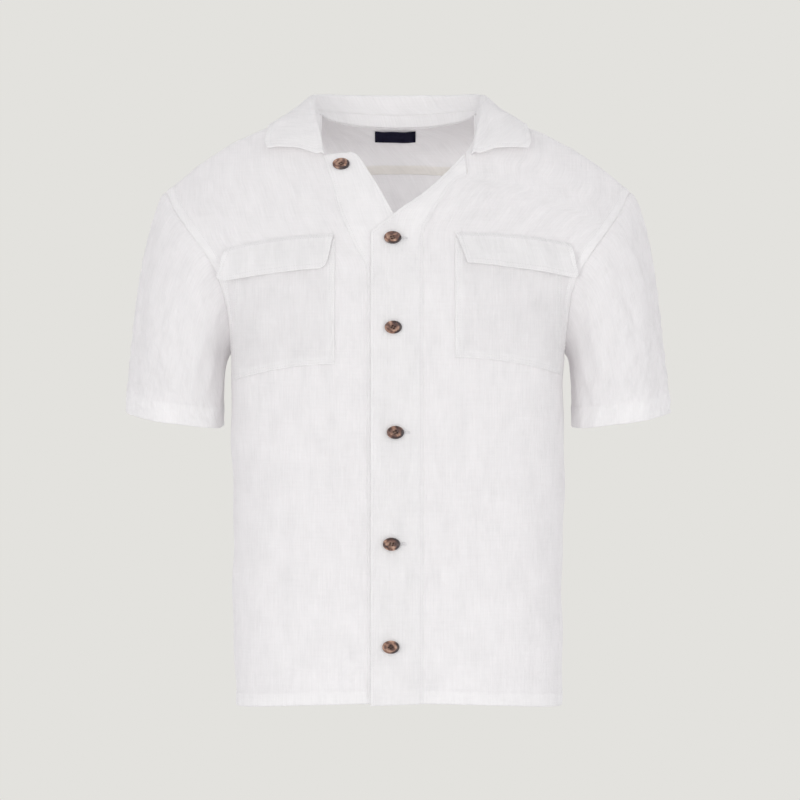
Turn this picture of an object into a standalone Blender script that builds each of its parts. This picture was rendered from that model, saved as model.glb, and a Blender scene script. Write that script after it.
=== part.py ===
"""Short-sleeved resort shirt with an open camp collar, hollow and filled out as when it is worn.

Metres, +Z up, the front faces -Y, and +X is the wearer's left. The origin is between the tops of the
shoulders. Every cloth piece is a thin wall on one body form. The form is a stack of rows that run from the
middle of the front or back to the side seam or armhole, and each piece is the patch that its outline cuts.
"""
import bpy
import numpy as np

# Walls and clearances.
CLOTH = 0.0012
BAND_CLOTH = 0.0014
COLLAR_CLOTH = 0.0016
SEAM_GAP = 0.0003       # between the borders of two pieces that are sewn together
LAY_GAP = 0.0011        # between two layers, one lying on the other

# Rows of the body form, from the hem to the shoulder seam. Seen from above, a row is an arc of a superellipse
# centred between front and back: it starts at the middle (mid_z, mid_y) and ends at edge_x and edge_z, where
# its y is edge_share of mid_y. power is its squareness, droop how late it falls. Rows up to the underarm end
# at the side seam, later ones at the armhole.
FRONT_ROWS = np.array([
    # mid_z, mid_y, edge_x, edge_z, edge_share, power, droop
    (-0.6580, -0.126, 0.1880, -0.6640, 0.00, 2.8, 2.0),   # hem
    (-0.5000, -0.128, 0.1905, -0.5000, 0.00, 2.8, 2.0),   # seat
    (-0.3600, -0.130, 0.1915, -0.3600, 0.00, 2.9, 2.0),   # waist
    (-0.2660, -0.130, 0.1920, -0.2580, 0.00, 3.2, 2.0),   # underarm
    (-0.2400, -0.128, 0.1923, -0.2445, 0.29, 3.2, 2.0),
    (-0.2000, -0.124, 0.1955, -0.2090, 0.51, 3.1, 2.0),
    (-0.1580, -0.115, 0.2055, -0.1720, 0.68, 2.9, 2.0),   # chest line
    (-0.1180, -0.102, 0.2190, -0.1470, 0.78, 2.7, 2.0),
    (-0.0790, -0.085, 0.2315, -0.1300, 0.81, 2.5, 2.1),
    (-0.0380, -0.061, 0.2460, -0.1100, 0.84, 2.4, 2.3),
    (0.0020, -0.033, 0.2590, -0.0910, 0.84, 2.3, 2.4),
    (0.0238, 0.000, 0.2690, -0.0725, 0.60, 2.2, 2.6),     # shoulder seam
])
BACK_ROWS = np.array([
    (-0.6640, 0.118, 0.1880, -0.6640, 0.00, 2.8, 2.0),    # hem
    (-0.5000, 0.119, 0.1905, -0.5000, 0.00, 2.8, 2.0),    # seat
    (-0.3600, 0.121, 0.1915, -0.3600, 0.00, 2.9, 2.0),    # waist
    (-0.2660, 0.123, 0.1920, -0.2580, 0.00, 3.2, 2.0),    # underarm
    (-0.2400, 0.123, 0.1923, -0.2445, 0.30, 3.2, 2.0),
    (-0.2000, 0.122, 0.1990, -0.2060, 0.51, 3.1, 2.0),
    (-0.1580, 0.119, 0.2120, -0.1680, 0.63, 2.9, 2.0),    # shoulder blades
    (-0.1180, 0.114, 0.2270, -0.1380, 0.66, 2.7, 2.0),
    (-0.0790, 0.107, 0.2390, -0.1150, 0.62, 2.5, 2.1),
    (-0.0380, 0.097, 0.2505, -0.0980, 0.54, 2.4, 2.3),
    (0.0030, 0.073, 0.2610, -0.0850, 0.45, 2.3, 2.4),
    (0.0238, 0.000, 0.2690, -0.0725, 0.60, 2.2, 2.6),     # shoulder seam
])
UNDERARM = 3.0          # row numbers of the underarm, the shoulder seam and the yoke seam
SHOULDER = 11.0
YOKE_SEAM = 8.82
LEVEL_AT_SHOULDER = (0, 3)      # columns that level off there, so that front and back meet in a round shoulder

# Neck seam: its half width on the shoulder and how far back it lies at the middle of the back.
NECK_HALF_WIDTH = 0.088
NECK_BACK = 0.068
NECK_POWER = 2.3

# Outlines on the fronts, as (x, z) seen from the front, each from the hem up.
BUTTON_BAND_SEAM = [(-0.0345, -0.658), (-0.0345, -0.176), (-0.050, -0.135), (-0.066, -0.0972),
                    (-0.0737, -0.0698), (-0.0825, -0.0416), (-0.0861, -0.0318)]
BUTTON_BAND_EDGE = [(0.0235, -0.658), (0.0235, -0.160), (0.0150, -0.137), (-0.0045, -0.1023),
                    (-0.0255, -0.0648), (-0.0446, -0.0349), (-0.0485, -0.0305), (-0.0545, -0.0280)]
PLACKET_SEAM = [(0.0283, -0.658), (0.0283, -0.130), (0.0370, -0.1051), (0.0478, -0.0866),
                (0.0593, -0.0690), (0.0690, -0.0600), (0.0801, -0.0544)]
PLACKET_EDGE = [(-0.0305, -0.658), (-0.0305, -0.125), (-0.0235, -0.117), (-0.0045, -0.1018),
                (0.0353, -0.0717), (0.0642, -0.0434), (0.0760, -0.0307)]
RIGHT_NECK = [(-0.0885, -0.005), (-0.0880, 0.0185)]
LEFT_NECK = [(0.0778, -0.0322), (0.0850, -0.0180), (0.0885, -0.005), (0.0880, 0.0185)]
COLLAR_ENDS = [(0.0880, 0.0185), (0.0885, -0.005), (0.0835, -0.0310)]     # the collar's foot on the fronts

# Patch pockets and flaps, on the wearer's left and right: |x| of the inner and the outer edge, z of the top and
# of the bottom at both corners, and how much further out a flap's lower inner and lower outer corners are.
POCKETS = {"left": (0.0650, 0.1870, (-0.1285, -0.1400), (-0.2650, -0.2835), 0.0, 0.0),
           "right": (0.0718, 0.1870, (-0.1312, -0.1470), (-0.2725, -0.2905), 0.0, 0.0)}
FLAPS = {"left": (0.0650, 0.1965, (-0.1226, -0.1340), (-0.1580, -0.1725), 0.0080, 0.0068),
         "right": (0.0728, 0.1955, (-0.1257, -0.1410), (-0.1630, -0.1748), 0.0060, 0.0085)}
FLAP_SEAT = 0.0003                  # between the front and the flap's sewn edge
FLAP_LIFT = 0.0026                  # how far the flap's lower edge stands off the pocket
FLAP_STEP = 0.14                    # share of the flap's height in which it climbs onto the pocket

# Collar sections from the middle of the back (0) to the end of the collar (1): the roll and the leaf's edge.
COLLAR_SECTIONS = np.array([
    # roll x, y, z, leaf edge x, y, z, stand share of the height below the roll
    (0.0000, 0.0740, 0.0425, 0.0000, 0.1110, -0.0180, 0.42),
    (0.0300, 0.0725, 0.0425, 0.0400, 0.1085, -0.0170, 0.42),
    (0.0580, 0.0660, 0.0425, 0.0800, 0.0980, -0.0130, 0.42),
    (0.0850, 0.0480, 0.0418, 0.1170, 0.0720, -0.0050, 0.40),
    (0.0970, 0.0220, 0.0390, 0.1400, 0.0300, 0.0060, 0.34),
    (0.0985, -0.0010, 0.0290, 0.1480, -0.0020, 0.0060, 0.22),
    (0.0945, -0.0250, 0.0092, 0.1515, -0.0200, -0.0040, 0.12),
    (0.0895, -0.0450, -0.0110, 0.1530, -0.0330, -0.0140, 0.08),
    (0.0870, -0.0600, -0.0300, 0.1500, -0.0440, -0.0225, 0.08),
])
STAND_END = 0.60                    # where the stand ends on the way from the middle of the back
COLLAR_FOOT = 0.0004                # how far the collar starts above the seam allowance
ROLL_RADIUS = 0.0035
ROLL_LIMIT = 0.35                   # most of the height below the roll that its radius may take
LEAF_BOW = ((0.45, 0.0035), (0.75, 0.0025))     # share of the leaf's width, and how high it bows there
COLLAR_CELLS = 28

# Sleeves: the cuff's ellipse and the directions in which the cloth leaves the armhole and reaches the cuff.
CUFF_CENTRE = (0.2587, 0.0, -0.3345)
CUFF_HALF_WIDTH = 0.0553
CUFF_HALF_DEPTH = 0.0690
CUFF_SQUARING = 0.84                # power on the ellipse's cosine and sine, which flattens its front and back
CUFF_OUTER_RISE = 0.0090
CUFF_FRONT_DROP = 0.0050
SLEEVE_LEAVES = (0.92, 0.0, -0.38)
UNDERARM_LEAVES = (0.85, 0.0, -0.52)     # the same at the underarm
UNDERARM_TURN = 0.30                # up to which share of the armhole's height it leaves more downward
SLEEVE_ARRIVES = (0.06, 0.0, -1.0)
SLEEVE_PULL = (0.048, 0.110, 0.085)     # how strongly it does so at the underarm, the middle and the top
SLEEVE_INSET = 0.0003               # how far it starts outside the armhole's line
SLEEVE_FALL = (0.08, 0.14)              # how strongly it arrives at the cuff, at the underarm and the top
SLEEVE_CROWDING = 1.25                  # over 1, the rows are closer near the armhole

# Buttons.
BUTTON_RADIUS = 0.0098  # half its width
BUTTON_OVAL = 0.76      # share of its width that it is high
BUTTON_HEIGHT = 0.0034
BUTTON_RIM = 0.0018
BUTTON_DISH = 0.0009
BUTTON_BASE = 0.80      # share of the radius on which it lies
BUTTON_WAIST = 0.45     # share of the height at which it is widest
BUTTON_BRIM = 0.70      # share of the height at which the rim starts to round over
BUTTON_WELL = 0.55      # share of the radius that is flat inside the dish
BUTTON_SIDES = 18
HOLE_RADIUS = 0.0009
HOLE_RING = 0.0023
HOLE_SIDES = 6
BUTTON_PLACES = {                      # x and z seen from the front, and turn about its own axis, degrees
    "button_neck": (-0.0650, -0.0434, 40),
    "button_1": (-0.0060, -0.1300, 15),
    "button_2": (-0.0053, -0.2311, 65),
    "button_3": (-0.0029, -0.3496, 30),
    "button_4": (-0.0073, -0.4757, 80),
    "button_5": (-0.0081, -0.5922, 50),
}

# Blank woven label inside the back, below the collar.
LABEL_HALF_WIDTH = 0.0238
LABEL_MIDDLE = -0.0033
LABEL_TOP = 0.0030
LABEL_BOTTOM = -0.0092
LABEL_CLOTH = 0.0006
LABEL_GAP = 0.0020

# Cells of each patch.
FRONT_ACROSS = 11
POCKET_CELLS = (13, 8)
FLAP_ACROSS = 11
FLAP_HEIGHTS = (0.0, FLAP_STEP, 0.55, 1.0)      # shares of a flap's height at which it has rows of points
LABEL_CELLS = (4, 2)
BODY_CELLS = 10         # from the hem to the underarm
UNDERARM_CROWDING = 1.5
CHEST_CELLS = 8         # from the underarm to the collar's end on a front, and to the yoke seam on the back
SHOULDER_CELLS = 3      # from there to the shoulder seam
NECK_CELLS = 10
SLEEVE_CELLS = 9
BAND_SHARES = (0.0, 0.07, 0.36, 0.68, 1.0)      # points across a band, from its seam to its free edge
BAND_LIFTS = (0.0, 1.0, 1.0, 1.0, 1.0)          # share of the lap's height that each of them has
ON_MIDDLE = 2e-3                                # nearer the middle than this, the cloth faces straight ahead

LINEN = (0.86, 0.855, 0.86)
LABEL_NAVY = (0.006, 0.006, 0.018)
HORN = (0.13, 0.065, 0.040)


def clear_scene():
    """Remove every object of the scene."""
    for item in list(bpy.data.objects):
        bpy.data.objects.remove(item, do_unlink=True)


def make_material(name, colour, roughness):
    """A plain Principled BSDF of one colour."""
    material = bpy.data.materials.new(name)
    material.use_nodes = True
    shader = material.node_tree.nodes["Principled BSDF"]
    shader.inputs["Base Color"].default_value = (*colour, 1.0)
    shader.inputs["Roughness"].default_value = roughness
    shader.inputs["Metallic"].default_value = 0.0
    return material


def unit(vectors):
    """Vectors of length one."""
    return vectors / np.linalg.norm(vectors, axis=-1, keepdims=True)


def smooth(table, place, level=()):
    """Rows of a table read at fractional row numbers, on cubic curves that never pass beyond the rows.

    The columns in level arrive at the last row with no slope.
    """
    place = np.asarray(place, float)
    steps = np.diff(table, axis=0)
    before, after = steps[:-1], steps[1:]
    same_way = before * after > 0
    inner = np.where(same_way, 2 * before * after / np.where(same_way, before + after, 1.0), 0.0)
    slopes = np.vstack([steps[:1], inner, steps[-1:]])
    slopes[-1, list(level)] = 0.0
    low = np.clip(np.floor(place).astype(int), 0, len(table) - 2)
    t = (place - low)[..., None]
    return ((2 * t**3 - 3 * t**2 + 1) * table[low] + (t**3 - 2 * t**2 + t) * slopes[low]
            + (3 * t**2 - 2 * t**3) * table[low + 1] + (t**3 - t**2) * slopes[low + 1])


def read_rows(rows, place):
    """The columns of a form's rows at a place; the curves break at the underarm, where the side seam ends."""
    place = np.asarray(place, float)
    start = int(UNDERARM)
    body = smooth(rows[:start + 1], np.minimum(place, UNDERARM))
    chest = smooth(rows[start:], np.maximum(place - UNDERARM, 0.0), LEVEL_AT_SHOULDER)
    return np.moveaxis(np.where((place > UNDERARM)[..., None], chest, body), -1, 0)


def form(rows, side, across, place):
    """Body form. across goes 0 to 1 from the middle to the edge of a row, by angle, place goes up the rows.

    A row is an arc of a superellipse in plan, and falls from the middle with a power of its x.
    """
    across, place = np.broadcast_arrays(np.asarray(across, float), np.asarray(place, float))
    mid_z, mid_y, edge_x, edge_z, edge_share, power, droop = read_rows(rows, place)
    full_turn = np.arccos(edge_share ** (power / 2))
    angle = across * full_turn
    reach = (np.sin(angle) / np.sin(full_turn)) ** (2 / power)
    x = side * edge_x * reach
    y = mid_y * np.maximum(np.cos(angle), 0.0) ** (2 / power)
    z = mid_z + (edge_z - mid_z) * reach ** droop
    return np.stack([x, y, z], axis=-1)


def across_at(rows, x, place):
    """The across value at which a row reaches a given x."""
    edge_x, edge_share, power = read_rows(rows, place)[[2, 4, 5]]
    full_turn = np.arccos(edge_share ** (power / 2))
    reach = np.clip(np.abs(x) / edge_x, 0.0, 1.0)
    return np.arcsin(reach ** (power / 2) * np.sin(full_turn)) / full_turn


def locate(rows, x, target, axis):
    """The place up the rows at which the form has a given y or z at x, found by halving."""
    x, target = np.broadcast_arrays(np.asarray(x, float), np.asarray(target, float))
    falling = axis == 1
    low = np.full(x.shape, YOKE_SEAM if falling else 0.0)
    high = np.full(x.shape, SHOULDER)
    for _ in range(32):
        middle = (low + high) / 2
        value = form(rows, 1, across_at(rows, x, middle), middle)[..., axis]
        short = value > target if falling else value < target
        low = np.where(short, middle, low)
        high = np.where(short, high, middle)
    return (low + high) / 2


def form_normal(rows, side, across, place):
    """Outward normal of the form, from small steps along a row and up the rows."""
    step = 1e-3
    across, place = np.broadcast_arrays(np.asarray(across, float), np.asarray(place, float))
    left, right = np.clip(across - step, 0.0, 1.0), np.clip(across + step, 0.0, 1.0)
    low, high = np.clip(place - step, 0.0, SHOULDER), np.clip(place + step, 0.0, SHOULDER)
    along = form(rows, side, right, place) - form(rows, side, left, place)
    up = form(rows, side, across, high) - form(rows, side, across, low)
    outward = side if rows is FRONT_ROWS else -side
    return unit(np.cross(along, up) * outward)


def armhole_normal(rows, side, place):
    """Normal with which the sleeve's cloth starts at the armhole."""
    step = 1e-3
    inside = np.clip(place, UNDERARM, SHOULDER)
    low, high = np.maximum(inside - step, UNDERARM), np.minimum(inside + step, SHOULDER)
    seam = form(rows, side, 1.0, high) - form(rows, side, 1.0, low)
    leaves = np.array(SLEEVE_LEAVES) * (side, 1, 1)
    outward = side if rows is FRONT_ROWS else -side
    return unit(np.cross(np.broadcast_to(leaves, seam.shape), seam) * outward)


def cloth_normal(rows, side, across, place):
    """Normal of the cloth, shared by the pieces that meet at the side seam, armhole and shoulder seam."""
    across, place = np.broadcast_arrays(np.asarray(across, float), np.asarray(place, float))
    other = BACK_ROWS if rows is FRONT_ROWS else FRONT_ROWS
    normal = form_normal(rows, side, across, place)
    over = form_normal(other, side, across, place)
    at_edge = across > 1 - 1e-6
    at_top = place > SHOULDER - 1e-6
    at_side = at_edge & (place < UNDERARM + 1e-6)
    at_armhole = at_edge & (place > UNDERARM - 1e-6)
    shared = normal + np.where((at_top | at_side)[..., None], over, 0.0)
    sleeve = armhole_normal(rows, side, place)
    sleeve_over = armhole_normal(other, side, place)
    both = at_armhole & (at_top | at_side)
    shared = shared + np.where(at_armhole[..., None], sleeve, 0.0)
    return unit(shared + np.where(both[..., None], sleeve_over, 0.0))


def split(values, count, crowding):
    """count + 1 fractional positions along a run of points; crowding over 1 shortens the last steps."""
    lengths = np.concatenate([[0.0], np.cumsum(np.linalg.norm(np.diff(values, axis=0), axis=1))])
    shares = 1 - (1 - np.linspace(0, 1, count + 1)) ** crowding
    return np.interp(shares * lengths[-1], lengths, np.linspace(0, 1, len(values)))


def spaced_places(rows, start, end, count, crowding=1.0):
    """Places between two rows, spaced along the side seam or the armhole."""
    places = np.linspace(start, end, 200)
    return start + (end - start) * split(form(rows, 1, 1.0, places), count, crowding)


def grid_places(rows, break_place):
    """Places of a piece's grid rows: one is on the underarm, one at a given place, one on the shoulder."""
    body = spaced_places(rows, 0.0, UNDERARM, BODY_CELLS, UNDERARM_CROWDING)
    chest = spaced_places(rows, UNDERARM, break_place, CHEST_CELLS)[1:]
    return np.concatenate([body, chest, spaced_places(rows, break_place, SHOULDER, SHOULDER_CELLS)[1:]])


def inset(points, sides, half=SEAM_GAP / 2):
    """Move the named borders of a grid half a seam gap inward."""
    points = points.copy()
    if "bottom" in sides:
        points[0] += unit(points[1] - points[0]) * half
    if "top" in sides:
        points[-1] += unit(points[-2] - points[-1]) * half
    if "first" in sides:
        points[:, 0] += unit(points[:, 1] - points[:, 0]) * half
    if "last" in sides:
        points[:, -1] += unit(points[:, -2] - points[:, -1]) * half
    return points


def grid_normals(points, ring):
    """Normals of a grid from the differences of its neighbours."""
    up = np.gradient(points, axis=0)
    if ring:
        along = np.roll(points, -1, axis=1) - np.roll(points, 1, axis=1)
    else:
        along = np.gradient(points, axis=1)
    return unit(np.cross(along, up))


def wall(name, points, normals, thickness, material, ring=False):
    """A closed wall of cloth on a grid of points, half its thickness to each side."""
    rows, columns = points.shape[:2]
    outer = (points + normals * thickness / 2).reshape(-1, 3)
    inner = (points - normals * thickness / 2).reshape(-1, 3)
    shift = rows * columns
    last = columns if ring else columns - 1

    def index(row, column):
        return row * columns + column % columns

    faces = []
    for row in range(rows - 1):
        for column in range(last):
            a, b = index(row, column), index(row, column + 1)
            c, d = index(row + 1, column + 1), index(row + 1, column)
            faces += [[a, b, c], [a, c, d]]
            faces += [[c + shift, b + shift, a + shift], [d + shift, c + shift, a + shift]]
    border = [(index(0, column + 1), index(0, column)) for column in range(last)]
    border += [(index(rows - 1, column), index(rows - 1, column + 1)) for column in range(last)]
    if not ring:
        border += [(index(row, 0), index(row + 1, 0)) for row in range(rows - 1)]
        border += [(index(row + 1, columns - 1), index(row, columns - 1)) for row in range(rows - 1)]
    faces += [[a, b, b + shift, a + shift] for a, b in border]
    mesh = bpy.data.meshes.new(name)
    mesh.from_pydata(np.vstack([outer, inner]).tolist(), [], faces)
    mesh.update()
    return add_piece(name, mesh, material)


def add_piece(name, mesh, material):
    """Put a mesh into the scene with its faces pointing out."""
    turn_outward(mesh)
    mesh.shade_smooth()
    mesh.set_sharp_from_angle(angle=np.radians(40))
    mesh.materials.append(material)
    piece = bpy.data.objects.new(name, mesh)
    bpy.context.collection.objects.link(piece)
    return piece


def turn_outward(mesh):
    """Reverse a closed mesh whose volume comes out negative."""
    mesh.calc_loop_triangles()
    corners = np.array([[mesh.vertices[i].co for i in tri.vertices] for tri in mesh.loop_triangles])
    if np.einsum("ij,ij->i", corners[:, 0], np.cross(corners[:, 1], corners[:, 2])).sum() < 0:
        mesh.flip_normals()


def front_rows(band_seam):
    """Places of a front's grid rows; one row meets the neck where the band's seam ends."""
    x, z = band_seam[-1]
    return grid_places(FRONT_ROWS, float(locate(FRONT_ROWS, abs(x), z, 2)))


def front_edge(band_seam, neck):
    """Grid places of a front and the across value of its inner edge on each, from the hem to the shoulder."""
    outline = np.array(band_seam + neck)
    fine = np.linspace(0, len(outline) - 1, 40 * (len(outline) - 1) + 1)
    x = np.interp(fine, np.arange(len(outline)), outline[:, 0])
    z = np.interp(fine, np.arange(len(outline)), outline[:, 1])
    places = front_rows(band_seam)
    edge_x = np.interp(places, np.maximum.accumulate(locate(FRONT_ROWS, x, z, 2)), x)
    return places, across_at(FRONT_ROWS, edge_x, places)


def make_front(name, side, band_seam, neck, linen):
    """Front: from the band's seam and the neck out to the side seam, the armhole and the shoulder seam."""
    places, start = front_edge(band_seam, neck)
    across = start[:, None] + (1 - start[:, None]) * np.linspace(0, 1, FRONT_ACROSS + 1)
    grid = np.broadcast_to(places[:, None], across.shape)
    points = inset(form(FRONT_ROWS, side, across, grid), ("top", "first", "last"))
    return wall(name, points, cloth_normal(FRONT_ROWS, side, across, grid), CLOTH, linen)


def shoulder_reach():
    """Across values of the shoulder seam's points, from the neck to the armhole."""
    start = across_at(FRONT_ROWS, np.array(NECK_HALF_WIDTH), np.array(SHOULDER))
    return start + (1 - start) * np.linspace(0, 1, FRONT_ACROSS + 1)


def back_columns():
    """Signed across values of the back's and yoke's columns, from the wearer's right to the left."""
    reach = shoulder_reach()
    turn = np.linspace(-np.pi / 2, np.pi / 2, NECK_CELLS + 1)[1:-1]
    x = NECK_HALF_WIDTH * np.sin(turn)
    neck = across_at(BACK_ROWS, x, np.full(x.shape, SHOULDER)) * np.sign(x)
    return np.concatenate([-reach[::-1], neck, reach])


def back_grid(across, places, name, thickness, borders, material):
    """A patch of the back form between two runs of rows."""
    side = np.where(across < 0, -1.0, 1.0)
    points = form(BACK_ROWS, 1.0, np.abs(across), places)
    points[..., 0] *= side
    normals = cloth_normal(BACK_ROWS, 1.0, np.abs(across), places)
    normals[..., 0] *= side
    return wall(name, inset(points, borders), normals, thickness, material)


def make_back(linen):
    """Back: whole, from the hem to the yoke seam."""
    rows = grid_places(BACK_ROWS, YOKE_SEAM)[:BODY_CELLS + CHEST_CELLS + 1]
    across, places = np.meshgrid(back_columns(), rows)
    return back_grid(across, places, "back", CLOTH, ("top", "first", "last"), linen)


def neck_back_y(x):
    """How far back the neck seam lies, on a superellipse round the neck."""
    share = np.clip(np.abs(x) / NECK_HALF_WIDTH, 0, 1)
    return NECK_BACK * (1 - share ** NECK_POWER) ** (1 / NECK_POWER)


def neck_place(across):
    """Place on the back form at which a column meets the neck seam."""
    place = np.full(across.shape, SHOULDER)
    for _ in range(12):
        x = form(BACK_ROWS, 1.0, across, place)[..., 0]
        place = (place + locate(BACK_ROWS, x, neck_back_y(x), 1)) / 2
    return place


def make_yoke(linen):
    """Yoke: from the yoke seam up to the neck seam and both shoulder seams."""
    columns = back_columns()
    inside = np.abs(columns) < shoulder_reach()[0] - 1e-6
    top = np.where(inside, neck_place(np.abs(columns)), SHOULDER)
    rows = grid_places(BACK_ROWS, YOKE_SEAM)[BODY_CELLS + CHEST_CELLS:]
    share = (rows - rows[0]) / (rows[-1] - rows[0])
    places = rows[0] + share[:, None] * (top - rows[0])
    across = np.broadcast_to(columns, places.shape)
    return back_grid(across, places, "yoke", CLOTH, ("bottom", "top", "first", "last"), linen)


def on_front(x, z, lift):
    """Points and normals over the fronts at (x, z) seen from the front, moved out by lift."""
    side = np.where(x < 0, -1.0, 1.0)
    place = locate(FRONT_ROWS, x, z, 2)
    across = np.maximum(across_at(FRONT_ROWS, x, place), ON_MIDDLE)
    points = form(FRONT_ROWS, 1.0, across, place)
    normals = form_normal(FRONT_ROWS, 1.0, across, place)
    points[..., 0] = np.where(np.abs(x) < ON_MIDDLE, x, points[..., 0] * side)
    normals[..., 0] *= side * (np.abs(x) > ON_MIDDLE)
    normals = unit(normals)
    return points + normals * lift, normals


def strip(name, side, seam, neck, edge, lift, material):
    """A long piece from a front's inner edge to its own free edge, row by row of that front."""
    places, across = front_edge(seam, neck)
    count = BODY_CELLS + CHEST_CELLS + 1
    seam_points = form(FRONT_ROWS, side, across[:count], places[:count])
    edge = np.array(edge)
    share = (seam_points[:, 2] - seam_points[0, 2]) / (seam_points[-1, 2] - seam_points[0, 2])
    edge_z = edge[0, 1] + share * (edge[-1, 1] - edge[0, 1])
    edge_x = np.interp(edge_z, edge[:, 1], edge[:, 0])
    shares = np.array(BAND_SHARES)
    x = seam_points[:, :1] + (edge_x[:, None] - seam_points[:, :1]) * shares
    z = seam_points[:, 2:] + (edge_z[:, None] - seam_points[:, 2:]) * shares
    points, normals = on_front(x, z, lift * np.array(BAND_LIFTS)[:, None])
    return wall(name, inset(points, ("first",)), normals, BAND_CLOTH, material)


def make_bands(linen):
    """Button band of the under front, and the placket of the over front, which laps over it."""
    strip("front_right_band", -1.0, BUTTON_BAND_SEAM, RIGHT_NECK, BUTTON_BAND_EDGE, 0.0, linen)
    strip("front_left_placket", 1.0, PLACKET_SEAM, LEFT_NECK, PLACKET_EDGE, BAND_CLOTH + LAY_GAP, linen)


def pocket_patch(inner, outer, top, bottom, inner_slant, outer_slant, across, heights):
    """(x, z) of a four-cornered patch on a front; its rows are stepped evenly round the side."""
    u, v = np.meshgrid(np.linspace(0, 1, across + 1), heights)
    middle = float(locate(FRONT_ROWS, inner, (top[0] + bottom[0]) / 2, 2))
    first, last = across_at(FRONT_ROWS, np.array([inner, outer]), np.full(2, middle))
    x = form(FRONT_ROWS, 1.0, first + (last - first) * u, middle)[..., 0]
    share = ((x - inner) / (outer - inner)) ** 2
    x = x + v * (inner_slant * (1 - u)**4 + outer_slant * u**4)
    high = top[0] + (top[1] - top[0]) * share
    low = bottom[0] + (bottom[1] - bottom[0]) * share
    return x, high + (low - high) * v, v


def make_pockets(linen):
    """Patch pockets with flaps, one on each front."""
    on_panel = CLOTH + LAY_GAP
    for word, side in (("left", 1.0), ("right", -1.0)):
        x, z, _ = pocket_patch(*POCKETS[word], POCKET_CELLS[0], np.linspace(0, 1, POCKET_CELLS[1] + 1))
        points, normals = on_front(x * side, z, on_panel)
        wall("pocket_" + word, points, normals, CLOTH, linen)
        x, z, v = pocket_patch(*FLAPS[word], FLAP_ACROSS, np.array(FLAP_HEIGHTS))
        climb = on_panel + LAY_GAP - FLAP_SEAT
        rest = CLOTH + FLAP_SEAT + climb * np.clip(v / FLAP_STEP, 0, 1) + FLAP_LIFT * v
        points, normals = on_front(x * side, z, rest[..., None])
        wall("flap_" + word, points, normals, CLOTH, linen)


def collar_path(count):
    """Signed positions along the collar and its sections: neck seam, roll, leaf edge and stand share."""
    u = np.linspace(-1, 1, count + 1)
    side = np.where(u < 0, -1.0, 1.0)
    mirrored = COLLAR_SECTIONS[:0:-1] * (-1, 1, 1, -1, 1, 1, 1)
    table = smooth(np.vstack([mirrored, COLLAR_SECTIONS]), (u + 1) * (len(COLLAR_SECTIONS) - 1))
    roll, edge, share = table[:, :3], table[:, 3:6], table[:, 6]
    turn = np.clip(np.abs(u) / STAND_END, 0, 1) * np.pi / 2
    back_x = NECK_HALF_WIDTH * np.sin(turn)
    place = locate(BACK_ROWS, back_x, neck_back_y(back_x), 1)
    seam_back = form(BACK_ROWS, 1.0, across_at(BACK_ROWS, back_x, place), place)
    front = np.array(COLLAR_ENDS)
    along = np.clip((np.abs(u) - STAND_END) / (1 - STAND_END), 0, 1) * (len(front) - 1)
    front_x = np.interp(along, np.arange(len(front)), front[:, 0])
    front_z = np.interp(along, np.arange(len(front)), front[:, 1])
    seam_front, _ = on_front(front_x, front_z, 0.0)
    seam = np.where((np.abs(u) < STAND_END)[:, None], seam_back, seam_front)
    seam[:, 0] *= side
    return u, seam, roll, edge, share


def make_collar(linen):
    """Collar stand at the back of the neck, and the collar that rises from it, rolls over and falls."""
    u, seam, roll, edge, share = collar_path(COLLAR_CELLS)
    foot = seam + unit(roll - seam) * (CLOTH / 2 + SEAM_GAP + COLLAR_FOOT)
    stand_top = foot + (roll - foot) * share[:, None]
    out = unit((edge - roll) * (1, 1, 0))
    top = np.array((0.0, 0.0, 1.0))
    fall = unit(edge - roll)
    radius = np.minimum(ROLL_RADIUS, np.linalg.norm(roll - stand_top, axis=1) * ROLL_LIMIT)[:, None]
    rows = [stand_top, (stand_top + roll * 2) / 3, roll - out * radius / 2,
            roll + (out + top) * radius * 0.7, roll + out * radius + (out + fall) * radius]
    rows += [roll + (edge - roll) * across + top * bow for across, bow in LEAF_BOW]
    points = np.stack(rows + [edge])
    normals = grid_normals(points, False)
    wall("collar", inset(points, ("bottom",)), normals, COLLAR_CLOTH, linen)
    in_stand = np.abs(u) < STAND_END + 0.02
    points = np.stack([foot, (foot + stand_top) / 2, stand_top])[:, in_stand]
    normals = grid_normals(points, False)
    wall("collar_stand", inset(points, ("top",)), normals, COLLAR_CLOTH, linen)


def armhole_ring(side):
    """The armhole's points and normals, from the top down the front to the underarm and up the back."""
    front = front_rows(PLACKET_SEAM if side > 0 else BUTTON_BAND_SEAM)[BODY_CELLS:][::-1]
    back = grid_places(BACK_ROWS, YOKE_SEAM)[BODY_CELLS + 1:-1]
    halves = ((FRONT_ROWS, front), (BACK_ROWS, back))
    points = np.vstack([form(rows, side, 1.0, places) for rows, places in halves])
    normals = np.vstack([cloth_normal(rows, side, 1.0, places) for rows, places in halves])
    closed = np.vstack([points, points[:1]])
    lengths = np.concatenate([[0], np.cumsum(np.linalg.norm(np.diff(closed, axis=0), axis=1))])
    under = len(front) - 1
    share = np.where(np.arange(len(points)) <= under, lengths[:-1] / lengths[under] * np.pi,
                     np.pi + (lengths[:-1] - lengths[under]) / (lengths[-1] - lengths[under]) * np.pi)
    return points, normals, share


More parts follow.
